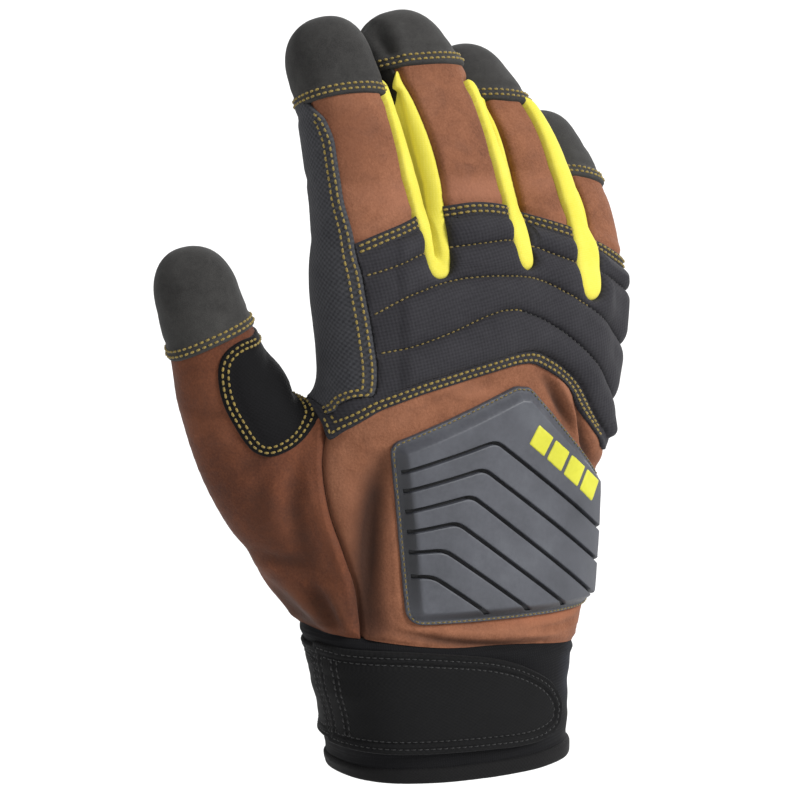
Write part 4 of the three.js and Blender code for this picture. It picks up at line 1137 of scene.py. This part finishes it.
# palm and finger fronts in one
f_front = outside(f_back)
front_caps = []
for k in FINGERS:
    i = ORDER.index(k)
    front_caps.append((k, f_cap(k)))


def f_past_caps(m):
    """Negative below every cap's seam, with the cap lapping over by 2 mm."""
    out = np.full(len(m.V), -50.0)
    i = m.L[:, [ORDER.index(k) for k in FINGERS]].argmin(1)
    for j, (k, fn) in enumerate(front_caps):
        s = (i == j) & (m.V[:, 2] > 150)
        out[s] = np.clip(-fn(Skin(m.V[s], m.N[s], m.L[s], m.F))[:], -50, 50)
    return out - 2.0


m = cut(skin, [(f_front, SEAM), (f_not_thumb, SEAM), (f_not_cuff, SEAM), (f_past_caps, (0.0,))])
m, _ = m.only((f_any_gusset(m)[m.F] > -0.3).any(1))
e = edge(m, f_front, f_not_thumb, f_not_cuff)
make("palm_suede_panel", m, seam_dip(e), np.full(len(m.V), -1.8), M_PALM,
     ["palm_panel", "index_front", "middle_front", "ring_front", "little_front"])

# thumb
m = cut(skin, [(f_thumb, (-4.0, -2.2, -1.2, -0.6, -0.25, 0.0)), (f_thumb_back, SEAM), (f_not_cuff, SEAM), (outside(f_cap("thumb"), -2.0), (0.0,))])
m, _ = m.only((f_web(m)[m.F] > -2.5).any(1))
m = refine(m)
e = edge(m, f_thumb_back, f_not_cuff)
et = -f_thumb(m)
top = seam_dip(e) + (1.75 * roll(et, 1.2) - 1.0) * np.exp(-np.maximum(et - 1.2, 0) / 2.6) * smoothstep(e / 3.0)
make("thumb_leather", m, top, np.full(len(m.V), -1.8), M_BROWN_THUMB, "thumb_back", lay="thumb")
m = cut(skin, [(f_thumb, SEAM), (outside(f_thumb_back), SEAM), (f_not_cuff, SEAM), (outside(f_cap("thumb"), -2.0), (0.0,))])
m, _ = m.only((f_web(m)[m.F] > -2.5).any(1))
e = edge(m, f_thumb, outside(f_thumb_back), f_not_cuff)
make("thumb_suede", m, seam_dip(e), np.full(len(m.V), -1.8), M_PALM, "thumb_front", lay="thumb")
m = cut(skin, [(f_web, ROLL)])
e = edge(m, f_web)
make("web_textile_patch", m, 0.15 + 0.75 * roll(e, 0.7) - 0.25 * np.exp(-((e - 4.2) / 1.0) ** 2), np.full(len(m.V), 0.05), M_WEB, "web_patch", lay="thumb")

# finger backs
for k in FINGERS:
    fs = [(above_pad_top, (-3.2, -1.2, 0.0, 1.4)), (finger_part(k), (0.0,)), (f_back, SEAM),
          (outside(f_any_gusset), SEAM), (outside(f_cap(k), -2.0), (0.0,)), (lambda m: 0.0 - f_thumb(m), (0.0,))]
    m = cut(skin, fs)
    e = edge(m, f_back, outside(f_any_gusset))
    low = -above_pad_top(m)
    top = seam_dip(e) - 0.6 * np.exp(-(edge(m, outside(f_any_gusset)) / 0.8) ** 2) - 0.25 * np.exp(-((low - 0.3) / 0.8) ** 2) + 0.35 * np.exp(-((low - 2.6) / 1.4) ** 2)
    make(k + "_leather", m, top, np.full(len(m.V), -1.8), M_BROWN, k + "_back", lay=k)

# fingertip caps
for k in FINGERS + ("thumb",):
    fc = f_cap(k)
    first = (f_thumb, (0.0,)) if k == "thumb" else (finger_part(k), (0.0,))
    gate = (lambda m: 118.0 - m.V[:, 2], (0.0,)) if k == "thumb" else (lambda m: 158.0 - m.V[:, 2], (0.0,))
    fs = [gate, first, (fc, (-6.0, -4.4, -2.4, -1.1, -0.5, -0.15, 0.0))]
    if k != "thumb":
        fs.append((lambda m: 0.0 - f_thumb(m), (0.0,)))
    m = cut(skin, fs)
    e = -fc(m)
    top = 0.2 + 1.0 * roll(e, 0.8) - 0.35 * np.exp(-((e - 4.6) / 1.2) ** 2)
    make(k + "_cap_suede", m, top, np.full(len(m.V), -1.4), M_CAP, k + "_cap", lay=k, wrinkle=1.5)

# lime strips between the fingers
for i in range(3):
    m = cut(near(skin, f_gussets[i], 1.0), [(f_gussets[i], (-2.0, -1.1, -0.5, -0.15, 0.0))])
    e = edge(m, f_gussets[i])
    top = 0.25 + 1.55 * roll(e, 2.2)
    if i == 0:
        # the crease where its two halves meet
        top = top - 2.6 * np.exp(-(seg_dist(xz(m), CREASE) / 0.95) ** 2) * smoothstep((m.V[:, 2] - 156.0) / 4.0)
    make("lime_strip_%d" % (i + 1), m, top, np.full(len(m.V), -1.6), M_LIME, "gusset_%d" % (i + 1), lay="xz", wrinkle=0.4)

# textile strip along the forefinger
m = cut(skin, [(f_side, ROLL + (-3.2, -5.2))])
e = edge(m, f_side)
make("side_textile_strip", m, 0.35 + 1.0 * roll(e, 0.8), np.full(len(m.V), 0.1), M_SIDE, "index_side_panel", lay="yz")

# quilted knuckle pad
seam_d = lambda m: np.min([seg_dist(xz(m), s) for s in SEAM_LINES], axis=0)
f_pad_room = most(outside(f_any_gusset, 0.0), lambda m: -f_side(m) - 2.2, lambda m: f_thumb(m) * -1.0 - 1.0)
m = lines_in(near(skin, f_pad, 1.0), *[signed_line(s) for s in SEAM_LINES])
m = cut(m, [(f_pad, (-5.0, -4.2, -1.2, -0.5, -0.15, 0.0)), (f_pad_room, (-1.2, -0.5, -0.15, 0.0))])
e = edge(m, f_pad)
er = edge(m, outside(f_any_gusset, 0.0))
es = f_side(m)
sd = seam_d(m)
puff = roll(np.minimum(np.maximum(e - 4.0, 0.0), sd) + 0.10, 5.0)
puff *= 0.25 + 0.75 * smoothstep(es / 6.0)
height = 0.9 + 3.1 * puff
height *= 0.22 + 0.78 * roll(er, 3.4)
height = np.where(e < 4.0, 0.25 + 0.75 * roll(e, 0.7) * (0.3 + 0.7 * roll(er, 1.6)), height)
height = np.minimum(height, 1.0 + np.maximum(es, -2) * 0.9 + 0.2)
height = np.where(es < 0, 0.35, np.maximum(height, 0.35))
make("quilted_pad", m, height, np.full(len(m.V), 0.1), M_PAD, "knuckle_pad", lay="xz")

# moulded guard: sewn rim, raised plate with slots, coloured bars


def soft_corner(line, r=2.6):
    """A slot's line with its corner rounded."""
    a, b, c = (np.array(p, float) for p in line)
    p, q = b + (a - b) * r / np.linalg.norm(a - b), b + (c - b) * r / np.linalg.norm(c - b)
    return [tuple(a)] + [tuple((1 - t) ** 2 * p + 2 * t * (1 - t) * b + t * t * q) for t in (0, 0.25, 0.5, 0.75, 1)] + [tuple(c)]


CHEVRONS = [soft_corner(c) for c in CHEVRONS]
chev_d = lambda m: np.min([seg_dist(xz(m), c) for c in CHEVRONS], axis=0)
guard_skin = lines_in(near(skin, f_guard, 1.0, 1), *[signed_line(c) for c in CHEVRONS])
m = cut(skin, [(f_guard, (-3.2, -2.0, -0.7, -0.3, 0.0))])
e = edge(m, f_guard)
rim = 0.45 + 0.95 * roll(e, 0.5)
make("guard_sewn_rim", m, rim, np.full(len(m.V), 0.15), M_GUARD, "guard_rim", lay="xz", wrinkle=0.3)
f_core = lambda m: f_guard(m) + 1.3
f_slot = lambda m: np.minimum(0.58 - chev_d(m), -f_core(m) - 1.0)


def bevel(e):
    """Rise of the guard's plate from its rim: a straight slope with soft ends."""
    t = np.clip(e / 2.8, 0, 1)
    return 0.25 * smoothstep(t) + 0.75 * t


m = cut(guard_skin, [(f_core, (-3.0, -2.6, -1.9, -1.0, -0.4, 0.0)), (f_slot, (-0.35, -0.12, 0.0))])
e = edge(m, f_core)
rise = 1.45 + 2.95 * bevel(e)
rise = rise - 0.35 * (1 - roll(-f_slot(m), 0.35))
plate = make("guard_raised_plate", m, rise, np.full(len(m.V), 1.0), M_GUARD, "guard_plate", lay="xz", wrinkle=0.3)
# the slot floor, whose near-black rubber is painted shade in the slots
m = cut(guard_skin, [(lambda m: f_guard(m) + 1.6, (0.0,)), (lambda m: chev_d(m) - 1.0, (0.0,))])
e = edge(m, f_guard) - 1.3
make("guard_slot_floor", m, 1.35 + 1.15 * bevel(e), np.full(len(m.V), 0.8), M_SLOT, "guard_plate", lay="xz", wrinkle=0.3)


def bar_outline(c):
    a, b = np.array(MARK_ALONG, float), np.array(MARK_ACROSS, float)
    c = np.array(c, float)
    return rounded([c, c + a, c + a + b, c + b], 0.5, 3)


for i, c in enumerate(MARK_BARS):
    fb = xz_field(bar_outline(c))
    m = cut(guard_skin, [(lambda m: m.V[:, 1], (0.0,)), (fb, (-0.5, -0.2, 0.0))])
    e = edge(m, fb)
    make("guard_bar_piece_%d" % (i + 1), m, 4.35 + 0.35 * roll(e, 0.5), np.full(len(m.V), 3.9), M_MARK, "guard_bar_%d" % (i + 1), lay="xz", wrinkle=0.3)

# -------------------------------------------------------------------- stitches


def contour(m, T, f, level):
    """Chains of points where f crosses the level on a piece's top: places, directions and skin places."""
    g = f - level
    g = np.where(np.abs(g) < 1e-5, 1e-5, g)
    s = g[m.F] > 0
    cross = s.any(1) & ~s.all(1)
    C = m.F[cross]
    pts, index, link = [], {}, {}

    def point(a, b):
        k = (a, b) if a < b else (b, a)
        if k not in index:
            t = g[k[0]] / (g[k[0]] - g[k[1]])
            index[k] = len(pts)
            pts.append((T[k[0]] * (1 - t) + T[k[1]] * t, m.N[k[0]] * (1 - t) + m.N[k[1]] * t, m.V[k[0]] * (1 - t) + m.V[k[1]] * t))
        return index[k]
    for tri in C:
        ends = []
        for a, b in ((tri[0], tri[1]), (tri[1], tri[2]), (tri[2], tri[0])):
            if (g[a] > 0) != (g[b] > 0):
                ends.append(point(int(a), int(b)))
        if len(ends) == 2:
            link.setdefault(ends[0], []).append(ends[1])
            link.setdefault(ends[1], []).append(ends[0])
    seen, chains = set(), []
    starts = [k for k in link if len(link[k]) == 1] + list(link)
    for s0 in starts:
        if s0 in seen:
            continue
        chain, cur = [s0], s0
        seen.add(s0)
        while True:
            nxt = [k for k in link[cur] if k not in seen]
            if not nxt:
                break
            cur = nxt[0]
            seen.add(cur)
            chain.append(cur)
        if len(chain) > 3:
            chains.append([np.array([pts[k][j] for k in chain]) for j in range(3)])
    return chains


STITCHES = {}


def sew(group, piece, f, level, keep=None, pitch=PITCH, fill=0.74, r=0.30, lift=0.10):
    """A row of stitches along f = level on a piece's top; keep says where, from skin places."""
    m, T = MADE[piece]
    f = f(m) if callable(f) else f
    for P, N, S in contour(m, T, f, level):
        if keep is not None:
            ok = keep(S)
        else:
            ok = np.ones(len(P), bool)
        edges = np.flatnonzero(np.diff(np.concatenate([[0], ok.astype(int), [0]])))
        for a, b in zip(edges[::2], edges[1::2]):
            if b - a < 4:
                continue
            p, n = P[a:b], N[a:b]
            run = np.concatenate([[0], np.cumsum(np.linalg.norm(np.diff(p, axis=0), axis=1))])
            total = run[-1]
            count = int(total / pitch)
            if count < 1:
                continue
            step = total / count
            for k in range(count):
                mid = (k + 0.5) * step
                jit = 0.06 * math.sin(12.9898 * (k + 3.1) + 78.233 * level)
                half = 0.5 * fill * step * (1 + jit)
                s = mid + np.linspace(-half, half, 5)
                q = np.stack([np.interp(s, run, p[:, j]) for j in range(3)], 1)
                nn = np.stack([np.interp(s, run, n[:, j]) for j in range(3)], 1)
                STITCHES.setdefault(group, []).append((q, nn / np.linalg.norm(nn, axis=1, keepdims=True), r, lift))


def thread_mesh(group, material, nodes, sides=6):
    rows = STITCHES.get(group)
    if not rows:
        return None
    P = np.array([q[0] for q in rows])                       # count, 5, 3
    N = np.array([q[1] for q in rows])
    r = np.array([q[2] for q in rows])[:, None, None]
    lift = np.array([q[3] for q in rows])[:, None]
    T = np.gradient(P, axis=1)
    T /= np.linalg.norm(T, axis=2, keepdims=True)
    N = N - (N * T).sum(2, keepdims=True) * T
    N /= np.linalg.norm(N, axis=2, keepdims=True)
    B = np.cross(T, N)
    arch = np.array([-0.26, 0.02, 0.12, 0.02, -0.26])[None, :]
    girth = np.array([0.55, 0.95, 1.0, 0.95, 0.55])[None, :, None, None]
    C = P + N * (lift + arch)[..., None]
    th = np.arange(sides) * 2 * math.pi / sides
    ring = C[:, :, None, :] + girth * r[:, :, :, None] * (np.cos(th)[None, None, :, None] * B[:, :, None, :] + np.sin(th)[None, None, :, None] * N[:, :, None, :])
    n = len(rows)
    V = ring.reshape(n, 5 * sides, 3)
    along = np.linspace(-1, 1, 5)[:, None] * 0.7 + np.zeros((1, sides))
    lay = np.zeros((n, 5 * sides, 3))
    lay[:, :, 0] = (along + 0.06 * np.arange(sides)[None, :]).ravel()
    F = []
    for k in range(4):
        for j in range(sides):
            a, b = k * sides + j, k * sides + (j + 1) % sides
            c, d = a + sides, b + sides
            F += [(a, c, b), (b, c, d)]
    for j in range(1, sides - 1):
        F += [(0, j, j + 1), (4 * sides, 4 * sides + j + 1, 4 * sides + j)]
    F = np.array(F)[None] + (np.arange(n) * 5 * sides)[:, None, None]
    ob = write_mesh(group, V.reshape(-1, 3), F.reshape(-1, 3), lay.reshape(-1, 3), 60)
    ob.data.materials.append(material)
    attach(ob, "root")
    return ob


PAD_TOP_XZ = tuple(smooth_line(PAD_TOP, 4).T)
back_side = lambda S: S[:, 1] < HAND_SEAM_Y - 1.5
off_strip = lambda S: (poly_dist(S[:, [1, 2]], SIDE_OUT) > 0.4) | (S[:, 0] > -29)
top_edge = lambda S: (S[:, 2] > np.interp(S[:, 0], *PAD_TOP_XZ) - 6.0) & back_side(S) & off_strip(S)
low_edge = lambda S: (S[:, 2] < 134) & (S[:, 0] < 46) & back_side(S) & (S[:, 0] > -44.6) & off_strip(S)
for lv in (-1.1, -2.7):
    sew("stitches_pad_gold", "quilted_pad", f_pad, lv, top_edge, r=0.38)
    sew("stitches_pad_gold", "quilted_pad", f_pad, lv, low_edge, r=0.38)
for i, (line, x_gold) in enumerate(zip(SEAM_LINES, (46, 40, 14))):
    q = lambda m, L=line: m.V[:, 2] - np.interp(m.V[:, 0], L[:, 0], L[:, 1])
    clear = lambda S: back_side(S) & off_strip(S) & (np.interp(S[:, 0], *PAD_TOP_XZ) - S[:, 2] > 4)
    sew("stitches_quilt_gold", "quilted_pad", q, 0.0, lambda S, X=x_gold, c=clear: (S[:, 0] < X) & c(S), lift=0.2, r=0.28, pitch=1.7, fill=0.66)
    sew("stitches_pad_dark", "quilted_pad", q, 0.0, lambda S, X=x_gold, c=clear: (S[:, 0] >= X) & c(S), lift=0.1, r=0.22)
for k in FINGERS + ("thumb",):
    for lv in (-1.3, -2.9):
        sew("stitches_cap_gold", k + "_cap_suede", f_cap(k), lv, r=0.36)
near_edge = lambda S: (seg_dist(S[:, [1, 2]], np.array(SIDE_EDGE)) < 4.4) | (S[:, 2] < 121)
side_rows = lambda S: (S[:, 2] < 202) & (S[:, 1] < 6.0) & near_edge(S)
f_side_edge = lambda m: poly_dist(m.V[:, [1, 2]], SIDE_OUT)
for lv in (-0.8, -2.3):
    sew("stitches_side_gold", "side_textile_strip", f_side_edge, lv, side_rows, r=0.38)
for lv in (-1.2, -2.7):
    sew("stitches_web_gold", "web_textile_patch", xz_field(WEB_OUT), lv, lambda S: (S[:, 2] < 134.2) & (S[:, 1] < 20), r=0.36)
sew("stitches_guard_rim", "guard_sewn_rim", f_guard, -0.75, lambda S: back_side(S), r=0.2, pitch=1.7)
sew("stitches_strap_dark", "closing_strap", f_strap, -1.75, None, r=0.17, pitch=2.0)
sew("stitches_strap_dark", "closing_strap", f_strap, -3.9, None, r=0.17, pitch=2.0)
for lv in (-8.9, -7.1):
    sew("stitches_strap_dark", "closing_strap", lambda m: m.V[:, 1], lv, lambda S: (S[:, 0] < -30) & (S[:, 2] > 13.5) & (S[:, 2] < 39), r=0.22, pitch=2.0)
sew("stitches_palm_dark", "palm_suede_panel", f_front, -1.7, lambda S: S[:, 2] < 190, r=0.22, pitch=2.3)
sew("stitches_palm_dark", "palm_suede_panel", f_not_thumb, -1.7, None, r=0.22, pitch=2.3)
sew("stitches_palm_dark", "palm_suede_panel", f_not_cuff, -1.7, None, r=0.22, pitch=2.3)
thread_mesh("stitches_palm_dark", M_DARK, None)
thread_mesh("stitches_pad_gold", M_GOLD, None)
thread_mesh("stitches_pad_dark", M_DARK, None)
thread_mesh("stitches_quilt_gold", M_OLIVE, None)
thread_mesh("stitches_cap_gold", M_GOLD, None)
thread_mesh("stitches_side_gold", M_GOLD, None)
thread_mesh("stitches_web_gold", M_GOLD, None)
thread_mesh("stitches_guard_rim", M_OLIVE, None)
thread_mesh("stitches_strap_dark", M_BLACK, None)

# --------------------------------------------------------------- floor and light
AZ, EL = math.radians(-30), math.radians(10)
back = Vector((math.sin(AZ) * math.cos(EL), -math.cos(AZ) * math.cos(EL), math.sin(EL)))
right = Vector((math.cos(AZ), math.sin(AZ), 0))
up = back.cross(right)
target = (-right * (445 - 400) + up * (757 - 400)) * 0.31e-3

floor_me = bpy.data.meshes.new("floor")
floor_me.from_pydata([(-15, -15, -0.17), (15, -15, -0.17), (15, 15, -0.17), (-15, 15, -0.17)], [], [(0, 1, 2, 3)])
floor = bpy.data.objects.new("floor", floor_me)
bpy.context.scene.collection.objects.link(floor)
fm = bpy.data.materials.new("floor_white")
fm.use_nodes = True
fb_ = fm.node_tree.nodes["Principled BSDF"]
fb_.inputs["Base Color"].default_value = (0.80, 0.80, 0.80, 1)
fb_.inputs["Roughness"].default_value = 1.0
fb_.inputs["Specular IOR Level"].default_value = 0.0
floor_me.materials.append(fm)

world = bpy.data.worlds.new("studio")
bpy.context.scene.world = world
world.use_nodes = True
world.node_tree.nodes["Background"].inputs[0].default_value = (1, 1, 1, 1)
world.node_tree.nodes["Background"].inputs[1].default_value = 0.34


def sun(name, toward, strength, angle):
    """Even studio light that comes from the direction toward."""
    l = bpy.data.lights.new(name, "SUN")
    l.energy = strength
    l.angle = math.radians(angle)
    o = bpy.data.objects.new(name, l)
    o.rotation_euler = Vector(toward).to_track_quat("Z", "Y").to_euler()
    bpy.context.scene.collection.objects.link(o)
    return o


sun("key", (0.50, -0.76, 0.60), 4.2, 24)
sun("fill", (-0.75, -0.55, 0.35), 0.40, 40)
sun("behind", (0.72, 0.58, 0.38), 1.5, 40)
sun("overhead", (-0.15, 0.30, 1.0), 0.8, 30)
bpy.context.scene.view_settings.view_transform = "Standard"

cam = bpy.data.cameras.new("camera")
cam.sensor_width = 36
cam.sensor_fit = "HORIZONTAL"
cam.lens = 36 * (1100 / 0.31) / 800
cam.clip_start = 0.05
cam.clip_end = 100
camera = bpy.data.objects.new("camera", cam)
camera.location = target + back * 1.1
R = Matrix((right, up, back)).transposed()
camera.rotation_euler = R.to_euler()
bpy.context.scene.collection.objects.link(camera)
bpy.context.scene.camera = camera

bpy.context.view_layer.update()
tris = {o.name: len(o.data.polygons) for o in bpy.data.objects if o.type == "MESH"}
print("triangles", sum(tris.values()), max(tris.items(), key=lambda t: t[1]))
